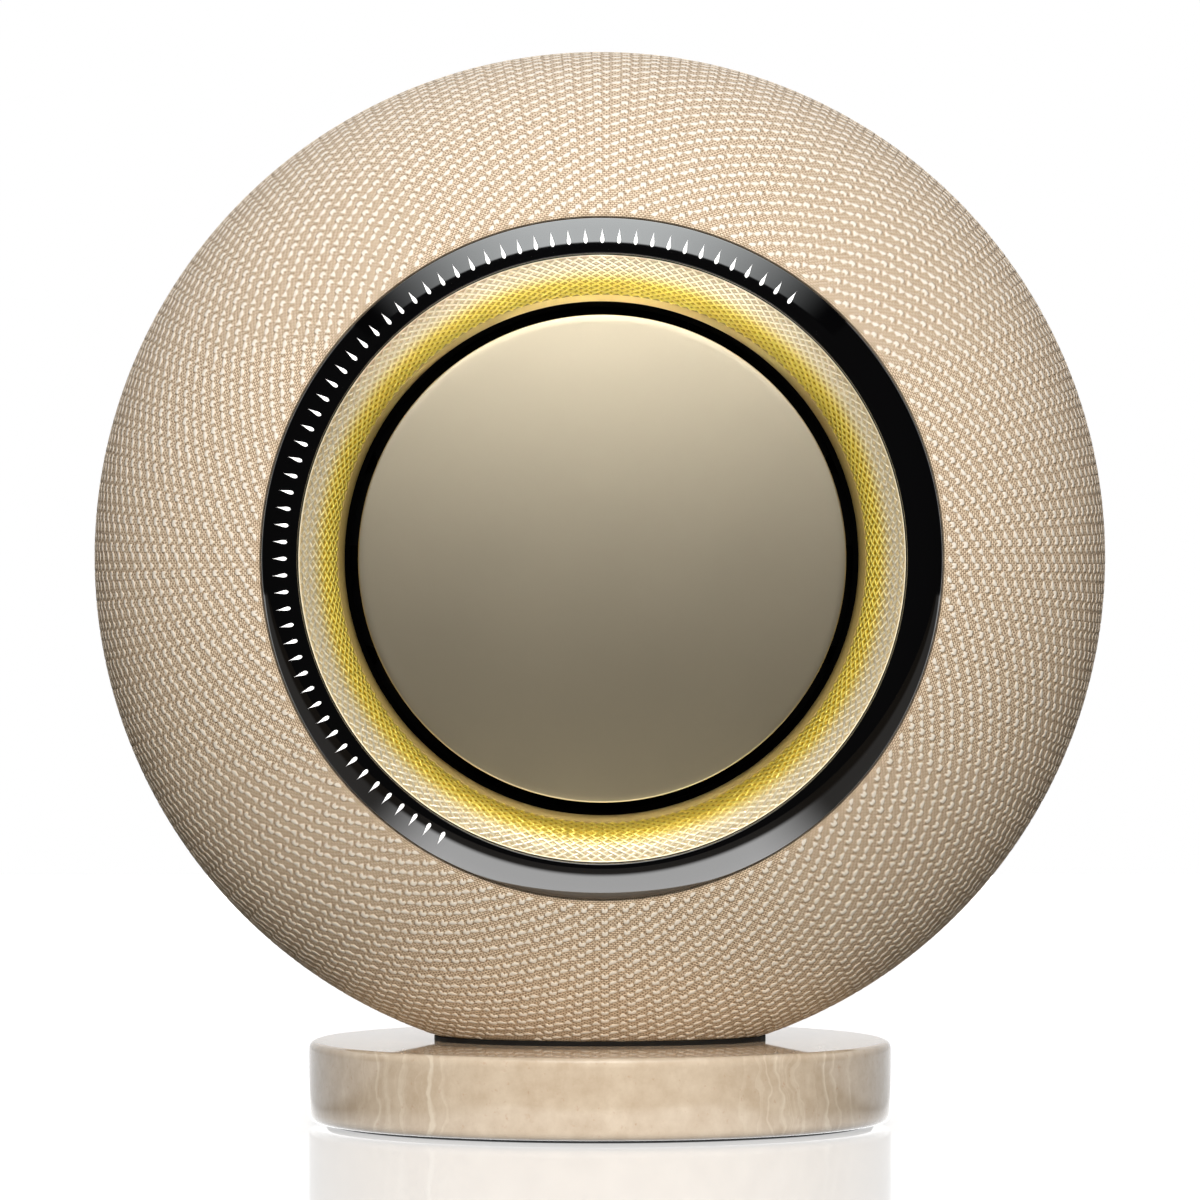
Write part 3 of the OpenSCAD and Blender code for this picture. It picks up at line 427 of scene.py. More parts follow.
t_front, t_rear = skin_angle(FRONT_R + 0.9), -skin_angle(REAR_R + 0.7)
outside = [skin(t) for t in np.linspace(t_front, t_rear, 110)]
inside = [skin(t, KNIT_T) for t in np.linspace(t_rear, t_front, 40)]
front_edge = [[FRONT_R, FRONT_TUCK], [FRONT_R, outside[0][1] - 1.6], [FRONT_R + 0.12, outside[0][1] - 0.6],
              [FRONT_R + 0.45, outside[0][1] - 0.02]]
rear_edge = [[REAR_R + 0.3, outside[-1][1] + 0.1], [REAR_R + 0.08, outside[-1][1] + 0.6],
             [REAR_R, outside[-1][1] + 1.4], [REAR_R, REAR_TUCK], [REAR_R + KNIT_T, REAR_TUCK]]
cover_outline = np.array(front_edge + outside + rear_edge + inside + [[FRONT_R + KNIT_T, FRONT_TUCK]])


def length_of(points):
    return float(np.linalg.norm(np.diff(points, axis=0), axis=1).sum())


cover_length = length_of(np.r_[cover_outline, cover_outline[:1]])
shown_length = length_of(cover_outline[:len(front_edge) + len(outside)])
tucked_length = length_of(cover_outline[:len(front_edge) + 1])
print(f"cover outline {cover_length:.1f} mm, shown {shown_length:.1f} mm, {shown_length / COURSE:.0f} courses")

# %% The skin, cut flat at the bottom
cover = turned("knitted_cover", cover_outline, steps=480)
cutting = bmesh.new()
cutting.from_mesh(cover.data)
cut = bmesh.ops.bisect_plane(
    cutting, geom=cutting.verts[:] + cutting.edges[:] + cutting.faces[:], dist=1e-7,
    plane_co=(0, 0, FLAT_Z * MM), plane_no=(0, 0, -1), clear_outer=True)
rim = [e for e in cut["geom_cut"] if isinstance(e, bmesh.types.BMEdge)]
bmesh.ops.triangle_fill(cutting, use_beauty=True, edges=rim, normal=(0, 0, -1))
cutting.to_mesh(cover.data)
cutting.free()
tidy(cover.data, sharp=50)

# %% [markdown]
# ### The ground's stitches
# The pattern is worked out in stitches. The UV map gives the wale and the course, and the fraction
# within each gives the place in one stitch. Alternate courses are set half a wale over, so that the
# stitches sit like diamonds. A small dark dot of the backing yarn shows between them. Round each float
# the ground is painted darker: painted shade, where the float would shade it.

# %% The knit group
knit, k_in, k_out = group(
    "Knit ground", "ShaderNodeTree",
    {"Wales": float(WALES), "Outline": cover_length, "Course": COURSE, "Minus shift": -SHIFT},
    {"Yarn": "Float", "Dot": "Float", "Painted float shade": "Float", "Height": "Float"})
uv = add(knit, "ShaderNodeUVMap", uv_map="UVMap")
split = apart(knit, uv.outputs["UV"])
wale = times(knit, split["X"], k_in["Wales"])
course = sums(knit, "DIVIDE", times(knit, split["Y"], k_in["Outline"]), k_in["Course"])
row = sums(knit, "FLOOR", course)
across = minus(knit, sums(knit, "FRACT", course), 0.5)
half = times(knit, sums(knit, "MODULO", row, 2.0), 0.5)
along = minus(knit, sums(knit, "FRACT", plus(knit, wale, half)), 0.5)
# a rounded stitch: 1 in its middle, 0 at its corners
ax, ay = sums(knit, "ABSOLUTE", along), sums(knit, "ABSOLUTE", across)
reach = plus(knit, sums(knit, "POWER", times(knit, ax, 2.0), 2.2),
             sums(knit, "POWER", times(knit, ay, 2.0), 2.2))
stitch = minus(knit, 1.0, reach, clamp=True)
dot = sums(knit, "MULTIPLY", minus(knit, reach, 0.62), 2.4, clamp=True)
# the place in the repeat of five wales, and the float's painted shade at its start
pair = times(knit, course, 0.5)
turn = times_plus(knit, minus(knit, pair, 0.5), k_in["Minus shift"], wale)
in_repeat = minus(knit, sums(knit, "FLOORED_MODULO", turn, float(REPEAT)), 1.0)
near = sums(knit, "MINIMUM", sums(knit, "ABSOLUTE", in_repeat),
            sums(knit, "ABSOLUTE", minus(knit, in_repeat, float(REPEAT))))
under = minus(knit, 1.0, sums(knit, "MULTIPLY", sums(knit, "SUBTRACT", near, 0.75), 1.8), clamp=True)
for value, label in ((stitch, "Yarn"), (dot, "Dot"), (under, "Painted float shade"),
                     (sums(knit, "POWER", stitch, 0.5), "Height")):
    knit.links.new(value, k_out[label])

# %% The ground's material
ground, tree, bsdf = finish("Knit ground", linear(205, 172, 130), 0.85, 0.0, Specular_IOR_Level=0.15)
pattern = add(tree, "ShaderNodeGroup", node_tree=knit)
tone = mixed(tree, pattern.outputs["Dot"], linear(226, 206, 181), linear(120, 93, 66))
# painted shade: the ground is darkened towards brown round each float
shade = times(tree, pattern.outputs["Painted float shade"], 0.25)
tone = mixed(tree, shade, tone, linear(128, 108, 82))
tone = mixed(tree, 0.7, tone, noise(tree, 1800.0), "SOFT_LIGHT")
tree.links.new(tone, bsdf.inputs["Base Color"])
bumped(tree, bsdf, pattern.outputs["Height"], 0.6, 0.3 * MM)
finish_piece(cover, "cabinet", "knit", ground, "knit_cover")

# %% [markdown]
# ### The floats
# Seen close, the floats of one repeat differ. One is pulled into a V by the stitch under it, the next
# lies slantwise like a leaf, and the third is an arch with a flat crown. They follow each other in
# that order along a stripe. Each shape is modelled once, as a small pillow with a rounded back.

# %% The three float shapes
FLOAT_SHAPES = {
    "v": [(-1.5, 0.5), (-0.75, 0.88), (0.0, 0.85), (0.9, 0.95), (1.6, 0.9), (1.0, -0.05), (0.4, -0.95),
          (-0.2, -1.05), (-0.7, -0.55), (-1.15, 0.0)],
    "leaf": [(-1.9, -0.6), (-1.05, 0.15), (-0.3, 0.7), (0.7, 0.95), (1.6, 0.95), (1.8, 0.5), (1.35, -0.25),
             (0.65, -0.95), (-0.1, -1.0), (-0.9, -0.9)],
    "arch": [(-1.35, -0.9), (-1.4, 0.5), (-1.0, 1.02), (0.1, 1.08), (1.15, 1.02), (1.5, 0.5), (1.4, -0.95),
             (0.55, -0.95), (0.1, -0.2), (-0.4, -0.9)],
}


def pillow(name, outline, rise=0.14, sink=0.3):
    """A closed low cushion over an outline in mm: x runs with the course and y outwards."""
    outline = np.array(outline)
    middle = outline.mean(0)
    inner = middle + (outline - middle) * 0.7
    n = len(outline)
    verts = ([(x * MM, y * MM, 0) for x, y in outline] + [(x * MM, y * MM, rise * 0.8 * MM) for x, y in inner]
             + [(*(middle * MM), rise * MM), (*(middle * MM), -sink * MM)])
    crest = [0.0] * n + [0.75] * n + [1.0, 0.0]
    top, bottom = 2 * n, 2 * n + 1
    faces = []
    for i in range(n):
        j = (i + 1) % n
        faces += [(i, j, n + j, n + i), (n + i, n + j, top), (j, i, bottom)]
    mesh = bpy.data.meshes.new(name)
    mesh.from_pydata(verts, [], faces)
    mesh.attributes.new("crest", "FLOAT", "POINT").data.foreach_set("value", crest)
    tidy(mesh, sharp=180)
    return link(name, mesh)


pillows = [pillow(f"float_{name}", outline) for name, outline in FLOAT_SHAPES.items()]
print("faces in one float:", len(pillows[0].data.polygons))

# %% [markdown]
# There are some 15,000 floats, and their places follow a rule, so Geometry Nodes set them out. The
# tree takes the cover's outline as a line, finds each float's place along it from its row, swings it
# round the axis by its wale, and turns it to lie along the course. The row also picks the shape. A
# fixed seed varies the places and lengths a little.

# %% The float tree
floats, f_in, f_out = group(
    "Yarn floats", "GeometryNodeTree",
    {"Outline": "Geometry", "First row": 0, "Rows": 10, "Repeats": WALES // REPEAT,
     "Row height": FLOAT_ROW * MM, "Shift": SHIFT, "Usual wale": 1.75 * MM,
     "Cut height": (FLAT_Z + 0.5) * MM, "Axis height": AXIS_Z * MM,
     "V": "Object", "Leaf": "Object", "Arch": "Object", "Yarn": "Material"},
    {"Floats": "Geometry"})
line = add(floats, "GeometryNodeMeshToCurve", {"Mesh": f_in["Outline"]})
count = times(floats, f_in["Rows"], f_in["Repeats"])
points = add(floats, "GeometryNodePoints", {"Count": count})
index = index_in(floats)
row = sums(floats, "FLOOR", sums(floats, "DIVIDE", index, f_in["Repeats"]))
row = plus(floats, row, f_in["First row"])
column = sums(floats, "MODULO", index, f_in["Repeats"])


def varied(seed):
    """A random number from -1 to 1 for each float."""
    node = add(floats, "FunctionNodeRandomValue", {"Seed": seed}, data_type="FLOAT")
    node.inputs[2].default_value, node.inputs[3].default_value = -1.0, 1.0
    return node.outputs[1]


along = times(floats, plus(floats, row, 0.5), f_in["Row height"])
along = times_plus(floats, varied(3), 0.06 * MM, along)
sample = add(floats, "GeometryNodeSampleCurve", {"Curves": line.outputs["Curve"], "Length": along}, mode="LENGTH")
spot, lean = apart(floats, sample.outputs["Position"]), apart(floats, sample.outputs["Tangent"])
wale = times_plus(floats, row, f_in["Shift"], times_plus(floats, column, float(REPEAT), 1.0))
wale = times_plus(floats, varied(7), 0.07, wale)
angle = times(floats, wale, 2 * math.pi / WALES)
sine, cosine = sums(floats, "SINE", angle), sums(floats, "COSINE", angle)


def swung(tree, r, f, sine, cosine, lift=0.0):
    """The vector that a lathe vector [r, f] becomes at an angle, raised by lift."""
    return vector(tree, X=times(tree, r, sine), Y=times(tree, f, -1.0), Z=times_plus(tree, r, cosine, lift))


position = swung(floats, spot["X"], spot["Z"], sine, cosine, f_in["Axis height"])
outward = swung(floats, times(floats, lean["Z"], -1.0), lean["X"], sine, cosine)
course_way = swung(floats, 1.0, 0.0, cosine, times(floats, sine, -1.0))
placed = add(floats, "GeometryNodeSetPosition", {"Geometry": points.outputs[0], "Position": position})
turn = add(floats, "FunctionNodeAxesToRotation", {"Primary Axis": course_way, "Secondary Axis": outward},
           primary_axis="X", secondary_axis="Z")
kinds = add(floats, "GeometryNodeGeometryToInstance")
for label in ("Arch", "Leaf", "V"):
    shape = add(floats, "GeometryNodeObjectInfo", {"Object": f_in[label], "As Instance": True})
    floats.links.new(shape.outputs["Geometry"], kinds.inputs[0])
wide = sums(floats, "DIVIDE", times(floats, spot["X"], 2 * math.pi / WALES), f_in["Usual wale"])
wide = times(floats, wide, times_plus(floats, varied(11), 0.08, 1.0))
size = vector(floats, X=wide, Y=times_plus(floats, varied(19), 0.1, 1.0), Z=1.0)
set_out = add(floats, "GeometryNodeInstanceOnPoints", {
    "Points": placed.outputs[0], "Instance": kinds.outputs[0], "Pick Instance": True,
    "Instance Index": sums(floats, "FLOORED_MODULO", row, 3.0), "Rotation": turn.outputs[0], "Scale": size})
height = apart(floats, position_in(floats))["Z"]
low = sums(floats, "LESS_THAN", height, f_in["Cut height"])
kept = add(floats, "GeometryNodeDeleteGeometry", {"Geometry": set_out.outputs[0], "Selection": low}, domain="INSTANCE")
real = add(floats, "GeometryNodeRealizeInstances", {"Geometry": kept.outputs[0]})
painted(floats, real.outputs[0], f_in["Yarn"], f_out["Floats"])


def grown(name, base, tree, **values):
    """The plain mesh that a Geometry Nodes tree makes on a base mesh, with its inputs set by socket."""
    obj = link(name, base)
    modifier = obj.modifiers.new("made", "NODES")
    modifier.node_group = tree
    sockets = {s.name: s.identifier for s in tree.interface.items_tree if s.in_out == "INPUT"}
    for label, value in values.items():
        modifier[sockets[label.replace("_", " ")]] = value
    applied(obj)
    obj.data.name = name
    obj.data.shade_smooth()
    return obj


# %% Setting the floats out, in four runs of rows
yarn = grained("Cream yarn", linear(241, 233, 220), 0.8, 0.0, 0.25, 0.3, 0.0, Specular_IOR_Level=0.2)
tree = yarn.node_tree
crest = add(tree, "ShaderNodeAttribute", attribute_name="crest").outputs["Fac"]
# each float is painted darker towards its edges than on its crest: painted shade where it meets the ground
tone = mixed(tree, ramped(tree, crest, 0.0, 0.75, 0.0, 1.0), linear(214, 194, 168), linear(236, 228, 217))
tone = mixed(tree, 0.6, tone, noise(tree, 1500.0), "SOFT_LIGHT")
tree.links.new(tone, tree.nodes["Principled BSDF"].inputs["Base Color"])
corners = cover_outline[:len(front_edge) + len(outside)]
track = bpy.data.meshes.new("outline")
track.from_pydata([(r * MM, 0, f * MM) for r, f in corners], [(i, i + 1) for i in range(len(corners) - 1)], [])
first, last = math.ceil((tucked_length + 0.1) / FLOAT_ROW), math.floor((shown_length - 1.0) / FLOAT_ROW)
parts = 4
breaks = [round(first + (last - first) * k / parts) for k in range(parts + 1)]
for part, (a, b) in enumerate(zip(breaks, breaks[1:]), start=1):
    obj = grown(f"yarn_floats_{part}", track.copy(), floats, First_row=a, Rows=b - a, V=pillows[0],
                Leaf=pillows[1], Arch=pillows[2], Yarn=yarn)
    finish_piece(obj, "cabinet", "knit", None)
for obj in pillows:
    bpy.data.objects.remove(obj)

# %% [markdown]
# ## The volume ring
# The ring is a gloss black cap, and its domed face leans outwards more and more towards its outer
# edge. Lacquer has almost no colour of its own: what shows is the studio, mirrored faintly. So the
# face needs many smooth facets, and the finish is black with a low roughness and nothing on it.

# %% The lacquered cap
DIAL_RO, DIAL_RI = 104.8, 93.7
DIAL_CREST, DIAL_EDGE = 84.3, 73.8
ARC_R = 16.0
ARC_CENTRE = (DIAL_RI - 0.8, DIAL_CREST - ARC_R)


def ring_face(r):
    """How far forward the ring's domed face is at radius r."""
    return ARC_CENTRE[1] + math.sqrt(ARC_R ** 2 - (r - ARC_CENTRE[0]) ** 2)


def arc_face(r0, r1, steps, face=ring_face):
    return [[r, face(r)] for r in np.linspace(r0, r1, steps)]


lacquer, tree, bsdf = finish("Piano-black lacquer", linear(5, 5, 6), 0.06, 0.0, IOR=2.4)
EDGE = 0.35
cap_outline = (
    [[DIAL_RI, DIAL_EDGE], [DIAL_RI, ring_face(DIAL_RI) - EDGE], [DIAL_RI + 0.08, ring_face(DIAL_RI) - 0.2],
     [DIAL_RI + 0.2, ring_face(DIAL_RI) - 0.05]]
    + arc_face(DIAL_RI + 0.4, DIAL_RO - 0.3, 36)
    + [[DIAL_RO - 0.1, ring_face(DIAL_RO - 0.1) - 0.04], [DIAL_RO - 0.02, ring_face(DIAL_RO) - 0.15],
       [DIAL_RO, ring_face(DIAL_RO) - EDGE], [DIAL_RO, DIAL_EDGE], [DIAL_RO - 1.6, DIAL_EDGE]]
    + [[r, f - 1.8] for r, f in arc_face(DIAL_RO - 1.8, DIAL_RI + 1.8, 12)]
    + [[DIAL_RI + 1.6, DIAL_EDGE]])
cap = turned("volume_ring", cap_outline, steps=360, sharp=60)
finish_piece(cap, "dial", "gloss_black", lacquer, "dial_ring")

# %% [markdown]
# ### The lit marks
# The marks shine through the lacquer and don't turn with the ring. Sixty-three of them are lit, three
# degrees apart, from the lower left round to the upper right. Each is a small flame: rounded at its
# inner end, and drawn out to a long point. Geometry Nodes lay out one flame as a flat grid, copy it to
# each angle, and then lift every point to the ring's face.

# %% The mark tree
MARK_INNER, MARK_LENGTH, MARK_WIDTH = 96.8, 4.75, 1.16
SWELL, TAPER, WIDEST = 0.6, 2.2, 4.28

marks, m_in, m_out = group(
    "Lit marks", "GeometryNodeTree",
    {"Base": "Geometry", "Lit": 63, "Pitch": math.radians(3), "First": math.radians(210),
     "Inner radius": MARK_INNER * MM, "Length": MARK_LENGTH * MM, "Width": MARK_WIDTH * MM,
     "Proud": 0.04 * MM, "Light": "Material"},
    {"Marks": "Geometry"})
flame = add(marks, "GeometryNodeMeshGrid", {"Size X": 1.0, "Size Y": 1.0, "Vertices X": 17, "Vertices Y": 7})
flat = apart(marks, position_in(marks))
share = sums(marks, "ADD", flat["X"], 0.5, clamp=True)
# the half width rises fast from the inner end and falls slowly to the point
swell = sums(marks, "POWER", share, SWELL)
taper = sums(marks, "POWER", minus(marks, 1.0, share, clamp=True), TAPER)
waist = times(marks, times(marks, swell, taper), WIDEST)
radius = times_plus(marks, share, m_in["Length"], m_in["Inner radius"])
side = times(marks, times(marks, flat["Y"], m_in["Width"]), waist)
laid = add(marks, "GeometryNodeSetPosition",
           {"Geometry": flame.outputs[0], "Position": vector(marks, X=side, Z=radius)})
starts = add(marks, "GeometryNodePoints", {"Count": m_in["Lit"]})
angle = times_plus(marks, index_in(marks), m_in["Pitch"], m_in["First"])
copies = add(marks, "GeometryNodeInstanceOnPoints",
             {"Points": starts.outputs[0], "Instance": laid.outputs[0], "Rotation": vector(marks, Y=angle)})
real = add(marks, "GeometryNodeRealizeInstances", {"Geometry": copies.outputs[0]})
here = apart(marks, position_in(marks))
r = sums(marks, "SQRT", times_plus(marks, here["X"], here["X"], times(marks, here["Z"], here["Z"])))
off = minus(marks, r, ARC_CENTRE[0] * MM)
rise = sums(marks, "SQRT", minus(marks, (ARC_R * MM) ** 2, times(marks, off, off)))
forward = plus(marks, plus(marks, rise, ARC_CENTRE[1] * MM), m_in["Proud"])
lifted = add(marks, "GeometryNodeSetPosition", {
    "Geometry": real.outputs[0],
    "Position": vector(marks, X=here["X"], Y=times(marks, forward, -1.0), Z=plus(marks, here["Z"], AXIS_Z * MM))})
welded = add(marks, "GeometryNodeMergeByDistance", {"Geometry": lifted.outputs[0], "Distance": 1e-6})
painted(marks, welded.outputs[0], m_in["Light"], m_out["Marks"])

# %% Making the marks
glow, tree, bsdf = finish("Lit light guide", linear(245, 245, 245), 0.4)
bsdf.inputs["Emission Color"].default_value = (1.0, 1.0, 1.0, 1.0)
bsdf.inputs["Emission Strength"].default_value = 0.9
lit = grown("light_marks", bpy.data.meshes.new("empty"), marks, Light=glow)
thicken = lit.modifiers.new("thickness", "SOLIDIFY")
thicken.thickness, thicken.offset = 0.2 * MM, -1
finish_piece(lit, "cabinet", "light_guide", None, "tick_light_guide")

# %% [markdown]
# ## The gold mesh roll
# Between the ring and the black gap a roll of gold mesh curves down and inwards, like the mouth of a
# trumpet. Its inner band is plain satin metal. The rest is woven from two families of wires that
# cross at about sixty degrees and make long diamonds. At this size the weave is seen as a weave, so
# the wires are real: Geometry Nodes wind one wire of each family along the roll, with its ups and
# downs, and copy it round. A gold backing lies close behind them, so that the openings stay warm.

# %% The roll's two turned parts
RIM_F, RIM_RO, RIM_W = 80.0, 93.4, 0.4
GRILLE_RO, GRILLE_TOP, GRILLE_DEPTH = RIM_RO - RIM_W, RIM_F - 0.4, 19.4
THROAT_R = 79.6
LIP_END = 30.0


def roll(a, depth=0.0):
    """The [r, f] point at angle a of the roll, depth under its face."""
    a = math.radians(a)
    return [GRILLE_RO - (GRILLE_RO - THROAT_R - depth) * math.cos(a),
            GRILLE_TOP - GRILLE_DEPTH + (GRILLE_DEPTH - depth) * math.sin(a)]


satin_gold = grained("Satin gold", linear(192, 166, 100), 0.5, 0.15, 0.3, 0.25)
bright_gold = grained("Polished gold rim", linear(240, 228, 198), 0.3, 0.1, 0.3, 0.05)

# %% [markdown]
# Deep in the roll the mesh's colour is painted a saturated yellow, which turns to pale champagne at the
# front: painted warm light inside the roll, and on the backing painted shade as well. One group tells a
# material how far out it is, from the distance to the axis.

# %% The mesh's two finishes
outness, o_in, o_out = group(
    "Distance from the axis", "ShaderNodeTree",
    {"From": 84.4 * MM, "To": 90.2 * MM, "Axis height": AXIS_Z * MM}, {"Outwards": "Float"})
spot = apart(outness, object_place(outness))
up = minus(outness, spot["Z"], o_in["Axis height"])
far = sums(outness, "SQRT", times_plus(outness, up, up, times(outness, spot["X"], spot["X"])))
outness.links.new(ramped(outness, far, o_in["From"], o_in["To"], 0.0, 1.0), o_out["Outwards"])


def coated(name, inner, outer, roughness, metallic, size, depth):
    """A grained finish whose colour goes from inner to outer across the roll, with painted warm light and shade deep
    inside it.
    """
    mat = grained(name, outer, roughness, metallic, size, depth)
    tree = mat.node_tree
    node = add(tree, "ShaderNodeGroup", node_tree=outness)
    tone = mixed(tree, node.outputs["Outwards"], inner, outer)
    tree.links.new(tone, tree.nodes["Principled BSDF"].inputs["Base Color"])
    return mat


# the inner colours are painted light: warm yellow deep in the roll, and on the backing darker as painted shade
deep_gold = coated("Gold backing", linear(196, 164, 30), linear(206, 188, 148), 0.5, 0.6, 0.3, 0.6)
woven_gold = coated("Gold wire", linear(252, 232, 112), linear(252, 242, 216), 0.38, 0.87, 0.25, 0.15)

lip = turned("gold_lip", rounded(
    [roll(a) for a in np.linspace(0, LIP_END, 14)] + [roll(a, 0.75) for a in np.linspace(LIP_END, 0, 8)], 0.0))
finish_piece(lip, "cabinet", "gold_mesh", satin_gold)
backing = turned("gold_backing", np.array(
    [roll(a, 0.62) for a in np.linspace(LIP_END - 0.5, 90, 30)]
    + [roll(a, 0.8) for a in np.linspace(90, LIP_END - 0.5, 16)]))
finish_piece(backing, "cabinet", "gold_mesh", deep_gold)
rim = turned("gold_rim_band", rounded(
    [[GRILLE_RO, RIM_F - 2], [RIM_RO, RIM_F - 2], [RIM_RO, RIM_F], [GRILLE_RO, RIM_F]], 0.18))
finish_piece(rim, "cabinet", "gold_bezel", bright_gold, "gold_rim")

# %% The weave tree
WIRES, SWEEP = 164, 15.6

weave, w_in, w_out = group(
    "Woven wires", "GeometryNodeTree",
    {"Base": "Geometry", "Wires": WIRES, "Sweep": math.radians(SWEEP),
     "Start": math.radians(LIP_END), "Wire radius": 0.43 * MM,
     "Weave depth": 0.2 * MM, "Points": 44, "Sides": 5, "Wire": "Material"},
    {"Weave": "Geometry"})


def family(hand):
    """The wires that run one way round: hand is 1 for clockwise and -1 for the other way."""
    line = add(weave, "GeometryNodeMeshLine", {"Count": w_in["Points"]})
    share = sums(weave, "DIVIDE", index_in(weave), minus(weave, w_in["Points"], 1.0))
    a = times_plus(weave, share, minus(weave, math.radians(90), w_in["Start"]), w_in["Start"])
    across = sums(weave, "DIVIDE", times(weave, w_in["Wires"], times(weave, w_in["Sweep"], 2.0)),
                  2 * math.pi)
    wave = sums(weave, "COSINE", times(weave, times(weave, share, across), math.pi))
    depth = times_plus(weave, wave, times(weave, w_in["Weave depth"], 0.5 * hand), 0.42 * MM)
    ra = minus(weave, (GRILLE_RO - THROAT_R) * MM, depth)
    fa = minus(weave, GRILLE_DEPTH * MM, depth)
    r = minus(weave, GRILLE_RO * MM, times(weave, ra, sums(weave, "COSINE", a)))
    f = times_plus(weave, fa, sums(weave, "SINE", a), (GRILLE_TOP - GRILLE_DEPTH) * MM)
    turn = times(weave, times(weave, share, w_in["Sweep"]), float(hand))
    bent = add(weave, "GeometryNodeSetPosition", {
        "Geometry": line.outputs[0],
        "Position": swung(weave, r, f, sums(weave, "SINE", turn), sums(weave, "COSINE", turn))})
    curve = add(weave, "GeometryNodeMeshToCurve", {"Mesh": bent.outputs[0]})
    section = add(weave, "GeometryNodeCurvePrimitiveCircle",
                  {"Resolution": w_in["Sides"], "Radius": w_in["Wire radius"]})
    tube = add(weave, "GeometryNodeCurveToMesh", {
        "Curve": curve.outputs[0], "Profile Curve": section.outputs[0], "Fill Caps": True})
    starts = add(weave, "GeometryNodePoints", {"Count": w_in["Wires"]})
    every = times(weave, index_in(weave), sums(weave, "DIVIDE", 2 * math.pi, w_in["Wires"]))
    return add(weave, "GeometryNodeInstanceOnPoints", {
        "Points": starts.outputs[0], "Instance": tube.outputs[0], "Rotation": vector(weave, Y=every)}).outputs[0]


both = add(weave, "GeometryNodeJoinGeometry")
for hand in (1, -1):
    weave.links.new(family(hand), both.inputs[0])
real = add(weave, "GeometryNodeRealizeInstances", {"Geometry": both.outputs[0]})
up = add(weave, "GeometryNodeTransform", {"Geometry": real.outputs[0], "Translation": (0, 0, AXIS_Z * MM)})
painted(weave, up.outputs[0], w_in["Wire"], w_out["Weave"])

mesh_wires = grown("gold_mesh", bpy.data.meshes.new("empty"), weave, Wire=woven_gold)
finish_piece(mesh_wires, "cabinet", "gold_mesh", None, "gold_grille")

# %% [markdown]
# ## The centre plate
# The plate is a shallow dome of metal, bead-blasted and anodised champagne. Its dome is so slight
# that only the studio's slow gradient shows it. A rounded edge keeps it from looking cut from paper.
# The lettering of the real one is left off.

# %% The plate
PLATE_R, PLATE_T, PLATE_CROWN, PLATE_TOP = 75.0, 2.0, 3.6, 84.0
SPHERE = (PLATE_R ** 2 + PLATE_CROWN ** 2) / (2 * PLATE_CROWN)


def plate_face(r):
    return PLATE_TOP - SPHERE + math.sqrt(SPHERE ** 2 - r * r)


champagne = grained("Champagne anodised", linear(243, 223, 174), 0.42, 1.0, 0.22, 0.3, 0.03)
edge_f = plate_face(PLATE_R)
plate_outline = (
    [[0, plate_face(0) - PLATE_T], [0, plate_face(0)]] + arc_face(2, PLATE_R - 0.5, 40, plate_face)
    + [[PLATE_R - 0.22, edge_f - 0.03], [PLATE_R - 0.08, edge_f - 0.12], [PLATE_R, edge_f - 0.4],
       [PLATE_R, edge_f - PLATE_T]])
plate = turned("champagne_plate", plate_outline, steps=300, sharp=60)
finish_piece(plate, "cabinet", "champagne_metal", champagne, "centre_plate")
# the plate carrier and the front frame in the gap take the painted shade instead of their black moulding
frame["nodes"]["plate_carrier"].data.materials[0] = gap_shade_black
frame["nodes"]["front_frame"].data.materials[0] = gap_shade_black

# %% [markdown]
# ## The stone foot
# The foot is a disc of polished travertine. Its layers stand upright, from front to back, so on the
# rim they show as soft bands that are paler towards the left and the right. Small rusty specks and
# a few fine pits sit in them. One group draws the layers, warped by a slow noise.

# %% The travertine group
rock, t_in, t_out = group(
    "Travertine", "ShaderNodeTree",
    {"Layer width": 0.02, "Warp": 0.012, "Speck size": 0.0022, "Plain middle": 0.038},
    {"Layers": "Float", "Streaks": "Float", "Specks": "Float", "Clouds": "Float"})
x = apart(rock, object_place(rock))["X"]
x = times_plus(rock, minus(rock, noise(rock, 14.0, 4.0), 0.5), t_in["Warp"], x)
x = times_plus(rock, minus(rock, noise(rock, 110.0), 0.5), 0.006, x)
across = sums(rock, "DIVIDE", x, t_in["Layer width"])
layers = add(rock, "ShaderNodeTexNoise",
             {"W": across, "Scale": 1.0, "Detail": 3.0, "Roughness": 0.55}, noise_dimensions="1D")
streaks = add(rock, "ShaderNodeTexNoise", {
    "W": times(rock, across, 7.0), "Scale": 1.0, "Detail": 3.0, "Roughness": 0.6},
    noise_dimensions="1D")
out = sums(rock, "ABSOLUTE", x)
banded = times(rock, ramped(rock, out, t_in["Plain middle"], 0.054, 0.0, 1.0),
              ramped(rock, out, 0.074, 0.084, 1.0, 0.0))
streak = sums(rock, "MULTIPLY", minus(rock, streaks.outputs["Fac"], 0.5), 4.5, clamp=True)
streak = times(rock, streak, banded)
grit = noise(rock, sums(rock, "DIVIDE", 1.0, t_in["Speck size"]), 3.0, 0.7)
specks = sums(rock, "MULTIPLY", minus(rock, grit, 0.62), 6.0, clamp=True)
clouds = noise(rock, 130.0, 6.0, 0.65)
for value, label in ((layers.outputs["Fac"], "Layers"), (streak, "Streaks"),
                     (specks, "Specks"), (clouds, "Clouds")):
    rock.links.new(value, t_out[label])

